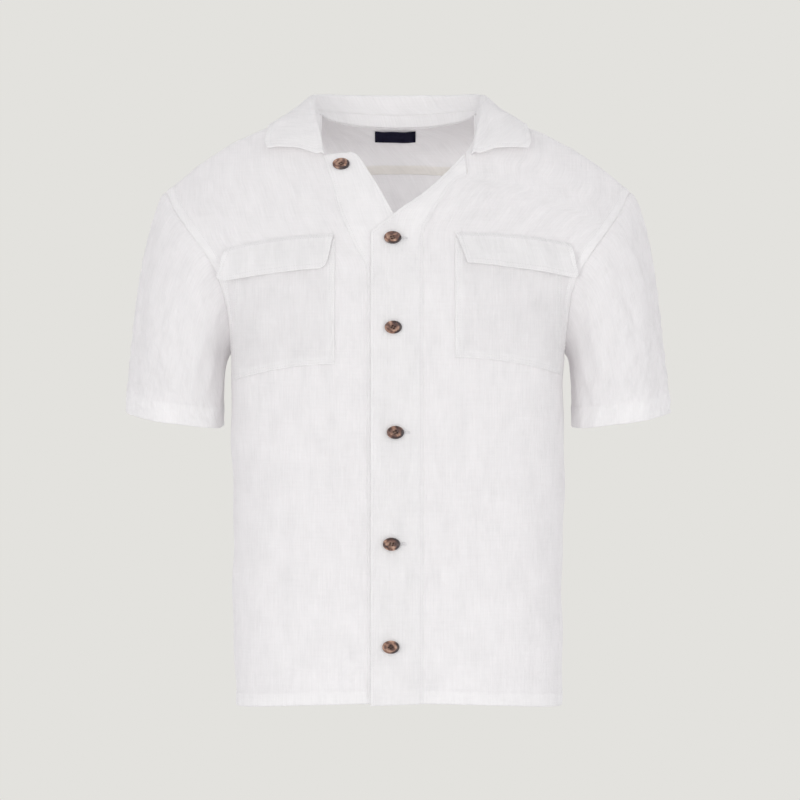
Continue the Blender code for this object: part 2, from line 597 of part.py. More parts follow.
def make_sleeve(name, side, linen):
    """Sleeve: a tube from the armhole to the cuff, on smooth curves with given directions at both ends."""
    armhole, seam_normals, turn = armhole_ring(side)
    middle = np.array(CUFF_CENTRE)
    wide, deep = (np.sign(part) * np.abs(part) ** CUFF_SQUARING for part in (np.cos(turn), np.sin(turn)))
    cuff = np.stack([middle[0] + CUFF_HALF_WIDTH * wide,
                     middle[1] - CUFF_HALF_DEPTH * deep,
                     middle[2] + CUFF_OUTER_RISE * np.cos(turn) - CUFF_FRONT_DROP * np.sin(turn)], axis=-1)
    cuff[:, 0] *= side
    height = (1 + np.cos(turn)) / 2
    pull = np.interp(height, (0.0, 0.5, 1.0), SLEEVE_PULL)[:, None]
    down = np.clip(1 - height / UNDERARM_TURN, 0, 1)[:, None]
    leaves = (np.array(SLEEVE_LEAVES) * (1 - down) + np.array(UNDERARM_LEAVES) * down) * (side, 1, 1) * pull
    arrives = np.array(SLEEVE_ARRIVES) * (side, 1, 1) * np.interp(height, (0.0, 1.0), SLEEVE_FALL)[:, None]
    w = (np.linspace(0, 1, SLEEVE_CELLS + 1) ** SLEEVE_CROWDING)[:, None, None]
    points = ((2 * w**3 - 3 * w**2 + 1) * armhole + (w**3 - 2 * w**2 + w) * leaves
              + (3 * w**2 - 2 * w**3) * cuff + (w**3 - w**2) * arrives)
    normals = grid_normals(points, True) * side
    normals[0] = seam_normals
    return wall(name, inset(points, ("bottom",), SLEEVE_INSET), normals, CLOTH, linen, ring=True)


def make_label(navy):
    """Blank label inside the back, on the yoke."""
    x = np.linspace(-LABEL_HALF_WIDTH, LABEL_HALF_WIDTH, LABEL_CELLS[0] + 1) + LABEL_MIDDLE
    x, z = np.meshgrid(x, np.linspace(LABEL_BOTTOM, LABEL_TOP, LABEL_CELLS[1] + 1))
    place = locate(BACK_ROWS, x, z, 2)
    across = np.maximum(across_at(BACK_ROWS, x, place), ON_MIDDLE)
    points = form(BACK_ROWS, 1.0, across, place)
    normals = form_normal(BACK_ROWS, 1.0, across, place)
    points[..., 0] = x
    normals[..., 0] *= np.where(x < 0, -1.0, 1.0)
    points = points - normals * (CLOTH / 2 + LABEL_GAP + LABEL_CLOTH / 2)
    return wall("label", points, normals, LABEL_CLOTH, navy)


def button_mesh():
    """Button before it is made oval: a turned disc with a raised rim, a dished middle and four holes."""
    floor = BUTTON_HEIGHT - BUTTON_DISH
    profile = [(0.0, 0.0), (BUTTON_RADIUS * BUTTON_BASE, 0.0), (BUTTON_RADIUS, BUTTON_HEIGHT * BUTTON_WAIST),
               (BUTTON_RADIUS, BUTTON_HEIGHT * BUTTON_BRIM),
               (BUTTON_RADIUS - BUTTON_RIM / 2, BUTTON_HEIGHT), (BUTTON_RADIUS - BUTTON_RIM, BUTTON_HEIGHT),
               (BUTTON_RADIUS * BUTTON_WELL, floor), (0.0, floor)]
    disc = lathe("button", profile, BUTTON_SIDES)
    low, high = -BUTTON_DISH, BUTTON_HEIGHT + BUTTON_DISH
    for turn in np.radians((45, 135, 225, 315)):
        cutter = lathe("hole", [(0.0, low), (HOLE_RADIUS, low), (HOLE_RADIUS, high), (0.0, high)], HOLE_SIDES)
        cutter.location = (HOLE_RING * np.cos(turn), HOLE_RING * np.sin(turn), 0)
        cutter.hide_render = True
        cutter.display_type = "WIRE"
        cut = disc.modifiers.new("hole", "BOOLEAN")
        cut.operation = "DIFFERENCE"
        cut.object = cutter
    bpy.context.view_layer.update()
    mesh = bpy.data.meshes.new_from_object(disc.evaluated_get(bpy.context.evaluated_depsgraph_get()))
    for item in [disc] + [cut.object for cut in disc.modifiers]:
        bpy.data.objects.remove(item, do_unlink=True)
    return mesh


def lathe(name, profile, sides):
    """A closed turned shape about Z, from a profile that starts and ends on the axis."""
    turn = np.linspace(0, 2 * np.pi, sides, endpoint=False)
    vertices = [(0.0, 0.0, profile[0][1])]
    for radius, height in profile[1:-1]:
        vertices += [(radius * np.cos(a), radius * np.sin(a), height) for a in turn]
    vertices.append((0.0, 0.0, profile[-1][1]))
    rings = len(profile) - 2
    faces = [[0, 1 + (k + 1) % sides, 1 + k] for k in range(sides)]
    for ring in range(rings - 1):
        start = 1 + ring * sides
        faces += [[start + k, start + (k + 1) % sides, start + sides + (k + 1) % sides, start + sides + k]
                  for k in range(sides)]
    start = 1 + (rings - 1) * sides
    faces += [[start + k, start + (k + 1) % sides, len(vertices) - 1] for k in range(sides)]
    mesh = bpy.data.meshes.new(name)
    mesh.from_pydata(vertices, [], faces)
    item = bpy.data.objects.new(name, mesh)
    bpy.context.collection.objects.link(item)
    return item


def make_buttons(horn):
    """Six buttons, each lying on its band with its axis along the cloth's normal."""
    base = button_mesh()
    corners = np.array([vertex.co for vertex in base.vertices])
    for name, (x, z, turn) in BUTTON_PLACES.items():
        on_lap = 0.0 if name == "button_neck" else BAND_CLOTH + LAY_GAP
        point, normal = on_front(np.array([x]), np.array([z]), on_lap + BAND_CLOTH / 2 + SEAM_GAP)
        axis = normal[0]
        right = unit(np.cross((0.0, 0.0, 1.0), axis))
        upward = np.cross(axis, right) * BUTTON_OVAL
        angle = np.radians(turn)
        first = right * np.cos(angle) + upward * np.sin(angle)
        second = upward * np.cos(angle) - right * np.sin(angle)
        mesh = base.copy()
        placed = point[0] + corners @ np.array([first, second, axis])
        mesh.vertices.foreach_set("co", placed.astype(np.float32).ravel())
        mesh.materials.clear()
        add_piece(name, mesh, horn)


def main():
    clear_scene()
    linen = make_material("linen_white", LINEN, 0.9)
    make_front("front_left", 1.0, PLACKET_SEAM, LEFT_NECK, linen)
    make_front("front_right", -1.0, BUTTON_BAND_SEAM, RIGHT_NECK, linen)
    make_bands(linen)
    make_back(linen)
    make_yoke(linen)
    make_collar(linen)
    make_sleeve("sleeve_left", 1.0, linen)
    make_sleeve("sleeve_right", -1.0, linen)
    make_pockets(linen)
    make_label(make_material("label_navy", LABEL_NAVY, 0.8))
    make_buttons(make_material("horn_brown", HORN, 0.35))


main()
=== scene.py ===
"""Looks of a short-sleeved linen resort shirt, filled out as when it is worn, in its studio.

Metres, +Z up, the front faces -Y, and +X is the wearer's left. Every cloth piece is a thin shell on the same body
form as its solid, with seams, hems, creases and stitches worked into it.
"""

import bpy
import numpy as np
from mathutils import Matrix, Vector


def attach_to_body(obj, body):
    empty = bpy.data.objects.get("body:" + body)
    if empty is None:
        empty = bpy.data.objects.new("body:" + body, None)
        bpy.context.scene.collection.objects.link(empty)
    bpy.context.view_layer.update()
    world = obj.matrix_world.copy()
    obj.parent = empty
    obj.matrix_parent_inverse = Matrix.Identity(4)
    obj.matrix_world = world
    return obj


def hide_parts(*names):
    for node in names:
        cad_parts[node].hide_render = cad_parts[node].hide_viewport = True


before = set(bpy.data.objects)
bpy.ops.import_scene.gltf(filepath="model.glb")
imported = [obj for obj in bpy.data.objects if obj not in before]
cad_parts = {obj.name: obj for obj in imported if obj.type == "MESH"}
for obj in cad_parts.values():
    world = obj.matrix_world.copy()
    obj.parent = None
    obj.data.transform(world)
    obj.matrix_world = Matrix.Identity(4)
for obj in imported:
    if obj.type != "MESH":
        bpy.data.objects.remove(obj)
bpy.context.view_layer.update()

# ---- Fronts ----------------------------------------------------------------------------------------------------
# Two panels of plain-weave linen, cut from shoulder to hem and sewn to the yoke, the back and the sleeves. Each
# is a patch of the body form, a stack of superellipse arcs from the middle to the side seam or the armhole. Its
# hem is turned up and stitched, and the seam allowances at the armhole make a raised band.
UNDERARM = 3.0
SHOULDER = 11.0
FRONT_FORM = np.array([
    # mid_z, mid_y, edge_x, edge_z, edge_share, power, droop
    (-0.6560, -0.126, 0.1880, -0.6640, 0.00, 2.8, 2.0),   # hem
    (-0.5000, -0.128, 0.1905, -0.5000, 0.00, 2.8, 2.0),   # seat
    (-0.3600, -0.130, 0.1915, -0.3600, 0.00, 2.9, 2.0),   # waist
    (-0.2660, -0.130, 0.1920, -0.2580, 0.00, 3.2, 2.0),   # underarm
    (-0.2400, -0.128, 0.1923, -0.2445, 0.29, 3.2, 2.0),
    (-0.2000, -0.124, 0.1955, -0.2090, 0.51, 3.1, 2.0),
    (-0.1580, -0.115, 0.2055, -0.1720, 0.68, 2.9, 2.0),   # chest line
    (-0.1180, -0.102, 0.2190, -0.1470, 0.78, 2.7, 2.0),
    (-0.0790, -0.085, 0.2315, -0.1300, 0.81, 2.5, 2.1),
    (-0.0380, -0.061, 0.2460, -0.1100, 0.84, 2.4, 2.3),
    (0.0020, -0.033, 0.2590, -0.0910, 0.84, 2.3, 2.4),
    (0.0238, 0.000, 0.2690, -0.0725, 0.60, 2.2, 2.6),     # shoulder seam
])
BACK_FORM = np.array([
    (-0.6640, 0.118, 0.1880, -0.6640, 0.00, 2.8, 2.0),    # hem
    (-0.5000, 0.119, 0.1905, -0.5000, 0.00, 2.8, 2.0),    # seat
    (-0.3600, 0.121, 0.1915, -0.3600, 0.00, 2.9, 2.0),    # waist
    (-0.2660, 0.123, 0.1920, -0.2580, 0.00, 3.2, 2.0),    # underarm
    (-0.2400, 0.123, 0.1923, -0.2445, 0.30, 3.2, 2.0),
    (-0.2000, 0.122, 0.1990, -0.2060, 0.51, 3.1, 2.0),
    (-0.1580, 0.119, 0.2120, -0.1680, 0.63, 2.9, 2.0),    # shoulder blades
    (-0.1180, 0.114, 0.2270, -0.1380, 0.66, 2.7, 2.0),
    (-0.0790, 0.107, 0.2390, -0.1150, 0.62, 2.5, 2.1),
    (-0.0380, 0.097, 0.2505, -0.0980, 0.54, 2.4, 2.3),
    (0.0030, 0.073, 0.2610, -0.0850, 0.45, 2.3, 2.4),
    (0.0238, 0.000, 0.2690, -0.0725, 0.60, 2.2, 2.6),     # shoulder seam
])


def unit(vectors):
    """Each vector over its own length."""
    return vectors / np.linalg.norm(vectors, axis=-1, keepdims=True)


def ease(x):
    """Smooth step: three squares less two cubes of x held between 0 and 1."""
    x = np.clip(x, 0.0, 1.0)
    return x * x * (3 - 2 * x)


def hermite(t, start, leaves, end, arrives):
    """Cubic from start to end at shares t, with a given slope at each."""
    return ((2 * t**3 - 3 * t**2 + 1) * start + (t**3 - 2 * t**2 + t) * leaves
            + (3 * t**2 - 2 * t**3) * end + (t**3 - t**2) * arrives)


def smooth(table, place, level=()):
    """Rows of a table at fractional row numbers, on cubics between the rows.

    The slope at a row is the harmonic mean of its steps. The columns in level arrive at the last row level.
    """
    place = np.asarray(place, float)
    steps = np.diff(table, axis=0)
    before, after = steps[:-1], steps[1:]
    same_way = before * after > 0
    inner = np.where(same_way, 2 * before * after / np.where(same_way, before + after, 1.0), 0.0)
    slopes = np.vstack([steps[:1], inner, steps[-1:]])
    slopes[-1, list(level)] = 0.0
    low = np.clip(np.floor(place).astype(int), 0, len(table) - 2)
    t = (place - low)[..., None]
    return hermite(t, table[low], slopes[low], table[low + 1], slopes[low + 1])


def read_form(rows, place):
    """Columns of the form's rows at a place; the curves break at the underarm, where the side seam ends."""
    place = np.asarray(place, float)
    body = smooth(rows[:4], np.minimum(place, UNDERARM))
    chest = smooth(rows[3:], np.maximum(place - UNDERARM, 0.0), level=(0, 3))
    return np.moveaxis(np.where((place > UNDERARM)[..., None], chest, body), -1, 0)


def form(rows, side, across, place):
    """Body form: at bearing b from straight ahead, x and y are sin b and cos b over the power mean of both.

    across goes 0 to 1 from the middle of a row to its edge, evenly in bearing, and z falls with a power of x.
    """
    across, place = np.broadcast_arrays(np.asarray(across, float), np.asarray(place, float))
    mid_z, mid_y, edge_x, edge_z, edge_share, power, droop = read_form(rows, place)
    edge = (1 - edge_share**power) ** (1 / power)
    bearing = across * np.arctan2(edge, edge_share)
    sine, cosine = np.sin(bearing), np.maximum(np.cos(bearing), 0.0)
    mean = (sine**power + cosine**power) ** (1 / power)
    reach = sine / mean / edge
    return np.stack([side * edge_x * reach, mid_y * cosine / mean, mid_z + (edge_z - mid_z) * reach**droop], -1)


def across_at(rows, x, place):
    """The across value at which a row reaches x: the bearing whose superellipse point has that x."""
    _, _, edge_x, _, edge_share, power, _ = read_form(rows, place)
    edge = (1 - edge_share**power) ** (1 / power)
    sine = np.clip(np.abs(x) / edge_x, 0.0, 1.0) * edge
    cosine = np.maximum(1 - sine**power, 0.0) ** (1 / power)
    return np.arctan2(sine, cosine) / np.arctan2(edge, edge_share)


def locate(rows, x, target, axis=2, low=0.0):
    """The place at which the form has a given z (axis 2) or y (axis 1) at x, by halving the span of rows."""
    x, target = np.broadcast_arrays(np.asarray(x, float), np.asarray(target, float))
    low, high = np.full(x.shape, low), np.full(x.shape, SHOULDER)
    for _ in range(30):
        middle = (low + high) / 2
        value = form(rows, 1, across_at(rows, x, middle), middle)[..., axis]
        short = value > target if axis == 1 else value < target
        low, high = np.where(short, middle, low), np.where(short, high, middle)
    return (low + high) / 2


def form_normal(rows, side, across, place):
    """Outward normal: the cross product of a small step along a row and one up the rows."""
    step = 1e-3
    across, place = np.broadcast_arrays(np.asarray(across, float), np.asarray(place, float))
    left, right = np.clip(across - step, 0.0, 1.0), np.clip(across + step, 0.0, 1.0)
    low, high = np.clip(place - step, 0.0, SHOULDER), np.clip(place + step, 0.0, SHOULDER)
    along = form(rows, side, right, place) - form(rows, side, left, place)
    up = form(rows, side, across, high) - form(rows, side, across, low)
    return unit(np.cross(along, up) * (side if rows is FRONT_FORM else -side))


def crowded(count, pull=0.6):
    """count + 1 shares from 0 to 1, closer at both ends: u less pull times sin 2 pi u over 2 pi."""
    u = np.linspace(0, 1, count + 1)
    return u - pull * np.sin(2 * np.pi * u) / (2 * np.pi)


def lengths_up(points):
    """Lengths along the rows of points, from the first row to each."""
    steps = np.linalg.norm(np.diff(points, axis=0), axis=-1)
    return np.concatenate([np.zeros_like(steps[:1]), np.cumsum(steps, axis=0)])


def even_places(rows, start, end, count, pull=0.0):
    """Places spaced along the side seam or the armhole, by its length."""
    places = np.linspace(start, end, 300)
    lengths = lengths_up(form(rows, 1, 1.0, places))
    return np.interp(crowded(count, pull) * lengths[-1], lengths, places)


def ripples(x, z, seed, count, longest, shortest, height, stretch=1.0):
    """Sum of seeded sine waves in x and z, of rising frequency and falling height, longer along z by stretch."""
    draw = np.random.default_rng(seed)
    total = np.zeros(np.broadcast(x, z).shape)
    for k in range(count):
        share = k / max(count - 1, 1)
        wave = longest * (shortest / longest) ** share
        turn = draw.uniform(-0.9, 0.9)
        phase = draw.uniform(0, 2 * np.pi)
        bend = draw.uniform(0, 2 * np.pi)
        run = x * np.cos(turn) + z * np.sin(turn) / stretch
        sway = 0.35 * np.sin(2 * np.pi * (z * np.cos(turn) - x * np.sin(turn)) / (wave * 2.6) + bend)
        total += height * (wave / longest) * np.sin(2 * np.pi * (run / wave + sway) + phase)
    return total / np.sqrt(count)


FOLD_TAPER = 0.35              # share of a fold's length over which each end rises


def folds(x, z, table):
    """Sum of soft folds: a bell across each line with a shallow trough on both sides, tapered to its ends.

    A table's numbers are millimetres.
    """
    total = np.zeros(np.broadcast(x, z).shape)
    for x0, z0, x1, z1, width, height, bow in np.array(table) / 1000:
        run = np.hypot(x1 - x0, z1 - z0)
        along = ((x - x0) * (x1 - x0) + (z - z0) * (z1 - z0)) / run**2
        inside = np.clip(along, 0, 1)
        off = ((x - x0) * (z1 - z0) - (z - z0) * (x1 - x0)) / run + bow * 4 * inside * (1 - inside)
        shape = (1 - 0.8 * (off / width) ** 2) * np.exp(-(off / width) ** 2)
        total += height * shape * ease(along / FOLD_TAPER) * ease((1 - along) / FOLD_TAPER)
    return total


# Folds of the fronts as they show from the front, on both of them.
FRONT_FOLDS = [
    # start x, start z, end x, end z, width, height, bow
    (-75, -640, -44, -593, 6.5, -2.2, 3),    # above the hem, by the placket
    (-62, -633, -38, -612, 5, -1.2, -2),
    (-145, -636, -98, -613, 6.5, -1.8, 4),
    (-179, -580, -183, -648, 7, -1.6, 2),    # by the side seam
    (-156, -340, -125, -510, 18, 1.2, 10),
    (-105, -320, -90, -470, 15, -1, -8),
    (-123, -390, -138, -560, 16, -1.2, 6),
    (-62, -360, -70, -560, 13, 0.9, 4),
    (-44, -240, -43, -420, 8, 0.9, 1),    # soft ridge beside the placket
    (-195, -95, -183, -140, 5, -1.6, 2),    # from the armhole to the flap
    (-204, -98, -190, -152, 5.5, -1.5, -2),
    (-213, -118, -195, -165, 6, 1.6, 1),
    (-170, -50, -160, -115, 10, -1, 3),
    (-128, -60, -124, -115, 9, 0.8, -2),
    (-90, -55, -64, -130, 8, -1.1, 2),    # beside the neck band
    (45, -480, 33, -560, 7, -1.3, -2),    # by the placket seam
    (34, -510, 30, -556, 4, -1, 0),
    (62, -350, 50, -500, 14, 1.1, 6),
    (98, -330, 108, -490, 17, -1.2, -6),
    (145, -360, 132, -530, 15, 1.2, 5),
    (88, -500, 80, -630, 15, 0.9, -6),
    (172, -430, 170, -620, 11, -1.4, 3),
    (125, -590, 156, -640, 8, 0.9, 3),
    (98, -50, 93, -118, 6, 1.1, 2),    # upright ridges over the pocket
    (108, -45, 105, -115, 6, -1, -1),
    (125, -42, 124, -118, 7.5, 1.2, 2),
    (140, -50, 138, -115, 7, -1, 1),
    (164, -52, 160, -120, 10, 1, 2),
    (215, -110, 196, -164, 6, 1.6, -1),    # along the armhole
    (204, -102, 189, -150, 5.5, -1.4, 2),
    (52, -56, 76, -49, 3, -0.8, 1),    # pulled short at the collar's end
    (56, -62, 80, -56, 2.8, 0.7, -1),
]
SIDE_REACH = 0.186             # |x| from which a side seam's sway takes over below the armhole
SIDE_FADE = 0.030
CHEST_LOW = -0.250             # z above which the cloth belongs to the chest and shoulders
CHEST_FADE = 0.040


def body_relief(x, z, table, seeds, longest, height):
    """Height of the body's cloth over its form: folds, slow ripples and short ones, faded out at its borders.

    Beside a side seam they give way to a sway that both its panels share: two slow waves of the height.
    """
    cloth_height = folds(x, z, table)
    cloth_height += ripples(x, z, seeds[0], 9, longest, 0.030, height, stretch=2.4)
    cloth_height += ripples(x, z, seeds[1], 9, 0.026, 0.011, 0.00022, stretch=1.6)
    inner = ease((SIDE_REACH - np.abs(x)) / SIDE_FADE)
    below = ease((CHEST_LOW - z) / CHEST_FADE)
    chest = ease((0.292 - np.abs(x)) / 0.05) * ease((0.014 - z) / 0.03)
    sway = 0.0012 * np.sin(z / 0.034 + np.sign(x)) + 0.0007 * np.sin(z / 0.013 + 2 * np.sign(x))
    return cloth_height * (inner * below + chest * (1 - below)) + sway * (1 - inner) * below


def front_relief(x, z):
    """The body relief of the fronts, which their bands, pockets and flaps follow."""
    return body_relief(x, z, FRONT_FOLDS, (3, 8), 0.110, 0.0012)


def arc_lengths(points):
    """Distances of a grid's points from its four borders, along its rows and columns."""
    first, bottom = lengths_up(np.swapaxes(points, 0, 1)).T, lengths_up(points)
    return {"first": first, "last": first[:, -1:] - first, "bottom": bottom, "top": bottom[-1:] - bottom}


def slanted(points, distance, border):
    """Distance from a slanting first or last border: the distance along the row times the sine of their angle."""
    column, beside = (0, 1) if border == "first" else (-1, -2)
    seam = unit(np.gradient(points[:, column], axis=0))
    row = unit(points[:, beside] - points[:, column])
    sine = np.sqrt(np.clip(1 - np.einsum("ij,ij->i", seam, row) ** 2, 0.05, 1))
    return distance * sine[:, None]


def stitched(distance, line, depth=0.00035, width=0.0011):
    """The dip of cloth along a stitch line: a bell of the distance from it."""
    return -depth * np.exp(-((distance - line) / width) ** 2)


def seamed(distance, depth=0.0006, width=0.0014):
    """The dip of cloth at a sewn border: a bell of the distance from it."""
    return -depth * np.exp(-(distance / width) ** 2)


def puckers(run, distance, seed, height=0.00028, reach=0.010):
    """Short gathers that cross a seam: waves along it, uneven in length, that fade with the distance from it."""
    draw = np.random.default_rng(seed)
    wander = 0.9 * np.sin(run / 0.021 + draw.uniform(0, 6)) + 0.6 * np.sin(run / 0.0083 + draw.uniform(0, 6))
    swell = 0.6 + 0.4 * np.sin(run / 0.047 + draw.uniform(0, 6))
    return height * swell * np.sin(2 * np.pi * run / 0.0105 + wander) * np.exp(-(distance / reach) ** 2)


def new_mesh(name, corners, faces, material):
    """A mesh from whole arrays of corners and four-cornered faces, shaded smooth."""
    mesh = bpy.data.meshes.new(name)
    mesh.vertices.add(len(corners))
    mesh.vertices.foreach_set("co", corners.astype(np.float32).ravel())
    mesh.loops.add(faces.size)
    mesh.loops.foreach_set("vertex_index", faces.astype(np.int32).ravel())
    mesh.polygons.add(len(faces))
    mesh.polygons.foreach_set("loop_start", np.arange(0, faces.size, faces.shape[1], dtype=np.int32))
    mesh.update(calc_edges=True)
    mesh.shade_smooth()
    mesh.materials.append(material)
    piece = bpy.data.objects.new(name, mesh)
    bpy.context.scene.collection.objects.link(piece)
    return piece


def grid_faces(rows, columns, ring=False):
    """Corner numbers of the cells of a grid; a ring's last column meets its first."""
    numbers = np.arange(rows * columns).reshape(rows, columns)
    if ring:
        numbers = np.concatenate([numbers, numbers[:, :1]], axis=1)
    cells = np.stack([numbers[:-1, :-1], numbers[:-1, 1:], numbers[1:, 1:], numbers[1:, :-1]], axis=-1)
    return cells.reshape(-1, 4)


RIM_SHARE = 0.35               # of the thickness, by which the rim stands out past a border


def shell(name, points, normals, thickness, weave, doubled, material, ring=False, taped=0.0, girth=0.0):
    """A closed cloth shell: the grid moved out and in by half its thickness, with a rounded rim round it.

    The rim's middle line is each border moved outward by a share of the thickness. weave is the place of each
    point in the cloth, in metres along weft and warp. doubled is 1 where the cloth lies double, and taped is 1
    where a seam's allowances cover the inner face. On a ring the weave goes on by its girth where it closes.
    """
    rows, columns = points.shape[:2]
    thickness = np.broadcast_to(thickness, (rows, columns))[..., None]
    outer, inner = points + normals * thickness / 2, points - normals * thickness / 2
    numbers = np.arange(rows * columns).reshape(rows, columns)
    if ring:
        loops, beside = [numbers[0], numbers[-1][::-1]], [points[1], points[-2][::-1]]
    else:
        border = np.concatenate([numbers[0, :-1], numbers[:-1, -1], numbers[-1, :0:-1], numbers[:0:-1, 0]])
        inward = np.concatenate([points[1, :-1], points[:-1, -2], points[-2, :0:-1], points[:0:-1, 1]])
        loops, beside = [border], [inward]
    flat = points.reshape(-1, 3)
    count = rows * columns
    corners, faces = [outer.reshape(-1, 3), inner.reshape(-1, 3)], []
    cells = grid_faces(rows, columns, ring)
    faces += [cells, cells[:, ::-1] + count]
    uv, double = [weave.reshape(-1, 2)] * 2, [np.broadcast_to(doubled, (rows, columns)).ravel()] * 2
    start = 2 * count
    for loop, inward in zip(loops, beside):
        rim = flat[loop] + unit(flat[loop] - inward) * thickness.reshape(-1, 1)[loop] * RIM_SHARE
        ids = start + np.arange(len(loop))
        faces += [np.stack([loop, ids, np.roll(ids, -1), np.roll(loop, -1)], -1)]
        faces += [np.stack([ids, loop + count, np.roll(loop, -1) + count, np.roll(ids, -1)], -1)]
        corners.append(rim)
        uv.append(uv[0][loop])
        double.append(double[0][loop])
        start += len(loop)
    corners, faces = np.concatenate(corners), np.concatenate(faces)
    turn = np.cross(outer[0, 1] - outer[0, 0], outer[1, 0] - outer[0, 0]) @ normals[0, 0]
    piece = new_mesh(name, corners, faces if turn > 0 else faces[:, ::-1], material)
    layer = piece.data.uv_layers.new(name="weave")
    index = np.zeros(len(piece.data.loops), np.int32)
    piece.data.loops.foreach_get("vertex_index", index)
    spread = np.concatenate(uv)[index].reshape(-1, 4, 2)
    closing = np.ptp(spread[..., 0], axis=1) > girth / 2
    spread[..., 0] += np.where(closing[:, None] & (spread[..., 0] < girth / 2), girth, 0.0)
    layer.data.foreach_set("uv", spread.astype(np.float32).ravel())
    inner_mark = np.zeros(len(corners))
    inner_mark[count:2 * count] = np.broadcast_to(taped, (rows, columns)).ravel()
    for mark, values in (("doubled", np.concatenate(double)), ("taped", inner_mark)):
        attribute = piece.data.attributes.new(mark, "FLOAT", "POINT")
        attribute.data.foreach_set("value", values.astype(np.float32))
    return piece


def grid_normals(points, ring=False):
    """Normals of a grid: the cross product of the differences along and up it."""
    up = np.gradient(points, axis=0)
    along = np.roll(points, -1, 1) - np.roll(points, 1, 1) if ring else np.gradient(points, axis=1)
    return unit(np.cross(along, up))


def attach(piece, node=None):
    """Let a piece ride with the body and stand for a solid where it has one."""
    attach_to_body(piece, "root")
    if node:
        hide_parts(node)


def cloth(piece):
    """The calls that every linen piece needs: its body and its solid."""
    attach(piece, piece.name.replace("_cloth", ""))


class Wire:
    """A shader socket. Sums, differences, products and quotients of it add Math nodes."""

    def __init__(self, tree, socket=None):
        self.tree = tree
        self.socket = socket

    def node(self, kind, settings, inputs, output=0):
        """Add a node: its type, its settings, with a ramp's stops as (place, colour), and its sockets' values."""
        made = self.tree.nodes.new(kind)
        for name, value in settings.items():
            if name == "stops":
                ramp = made.color_ramp
                while len(ramp.elements) < len(value):
                    ramp.elements.new(0.5)
                for element, (place, colour) in zip(ramp.elements, value):
                    element.position = place
                    element.color = (*colour, 1.0)
            else:
                setattr(made, name, value)
        for name, value in inputs.items():
            if isinstance(value, Wire):
                self.tree.links.new(value.socket, made.inputs[name])
            else:
                made.inputs[name].default_value = value
        return Wire(self.tree, made.outputs[output])

    def math(self, operation, first, second=0.0):
        return self.node("ShaderNodeMath", {"operation": operation}, {0: first, 1: second})

    def mix(self, share, first, second, blend="MIX"):
        """A colour between two, by the share of the second."""
        return self.node("ShaderNodeMix", {"data_type": "RGBA", "blend_type": blend},
                         {0: share, 6: first, 7: second}, 2)

    def __add__(self, other):
        return self.math("ADD", self, other)

    def __sub__(self, other):
        return self.math("SUBTRACT", self, other)

    def __rsub__(self, other):
        return self.math("SUBTRACT", other, self)

    def __mul__(self, other):
        return self.math("MULTIPLY", self, other)

    __radd__ = __add__
    __rmul__ = __mul__


def new_material(name):
    """An empty material, a wire to build it with and its output node."""
    material = bpy.data.materials.new(name)
    material.use_nodes = True
    tree = material.node_tree
    tree.nodes.clear()
    return material, Wire(tree), tree.nodes.new("ShaderNodeOutputMaterial")


LINEN = (0.950, 0.941, 0.943)
LINEN_DOUBLED = (0.955, 0.947, 0.948)
LINEN_SHEER = 0.42             # share of the light that goes through one layer
SEAM_PAINTED_SHADE = (0.900, 0.872, 0.820)     # painted shade of the allowances seen from inside, where little light comes through
WEAVE_PITCH = 0.00075          # between two threads


def linen_material(name, colour, doubled_colour, sheer):
    """Plain-weave linen: crossed sine threads, slubs along both, light crumples, and light through the cloth."""
    material, wire, output = new_material(name)
    place = wire.node("ShaderNodeUVMap", {"uv_map": "weave"}, {})
    parts = wire.node("ShaderNodeSeparateXYZ", {}, {0: place})
    weft, warp = parts, Wire(wire.tree, parts.socket.node.outputs[1])

    def noise(scale, detail, roughness=0.6):
        stretched = wire.node("ShaderNodeMapping", {}, {"Vector": place, "Scale": scale})
        return wire.node("ShaderNodeTexNoise", {"noise_dimensions": "2D"},
                         {"Vector": stretched, "Scale": 1.0, "Detail": detail, "Roughness": roughness})

    warp_slub = noise((620.0, 34.0, 1.0), 2.0)
    weft_slub = noise((30.0, 560.0, 1.0), 2.0)
    cloudy = noise((60.0, 26.0, 1.0), 3.0)
    crumple = noise((75.0, 48.0, 1.0), 4.0, 0.55)
    turn = np.pi / WEAVE_PITCH
    threads = wire.math("SINE", weft * turn) * wire.math("SINE", warp * turn)
    height = threads * 0.10 + warp_slub * 0.55 + weft_slub * 0.40 + crumple * 3.4
    mark = wire.node("ShaderNodeAttribute", {"attribute_name": "doubled"}, {}, output=2)
    base = wire.mix(mark, (*colour, 1), (*doubled_colour, 1))
    tape = wire.node("ShaderNodeAttribute", {"attribute_name": "taped"}, {}, output=2)
    # painted shade where a seam's allowances cover the inner face
    base = wire.mix(tape * 0.8, base, (*SEAM_PAINTED_SHADE, 1))
    shade = (warp_slub * 1.4 + weft_slub * 0.6 + cloudy) * 0.075 + 0.8875
    grey = wire.node("ShaderNodeCombineColor", {}, {0: shade, 1: shade, 2: shade})
    tinted = wire.mix(1.0, base, grey, "MULTIPLY")
    bump = wire.node("ShaderNodeBump", {}, {"Strength": 0.55, "Distance": 0.0006, "Height": height})
    surface = wire.node("ShaderNodeBsdfPrincipled", {}, {
        "Base Color": tinted, "Roughness": 0.92, "Specular IOR Level": 0.15, "Sheen Weight": 0.08,
        "Sheen Roughness": 0.5, "Normal": bump})
    through = wire.node("ShaderNodeBsdfTranslucent", {}, {"Color": tinted, "Normal": bump})
    both = wire.node("ShaderNodeMixShader", {}, {0: sheer - mark * (sheer * 0.16), 1: surface, 2: through})
    wire.tree.links.new(both.socket, output.inputs["Surface"])
    return material


linen = linen_material("linen_white", LINEN, LINEN_DOUBLED, LINEN_SHEER)

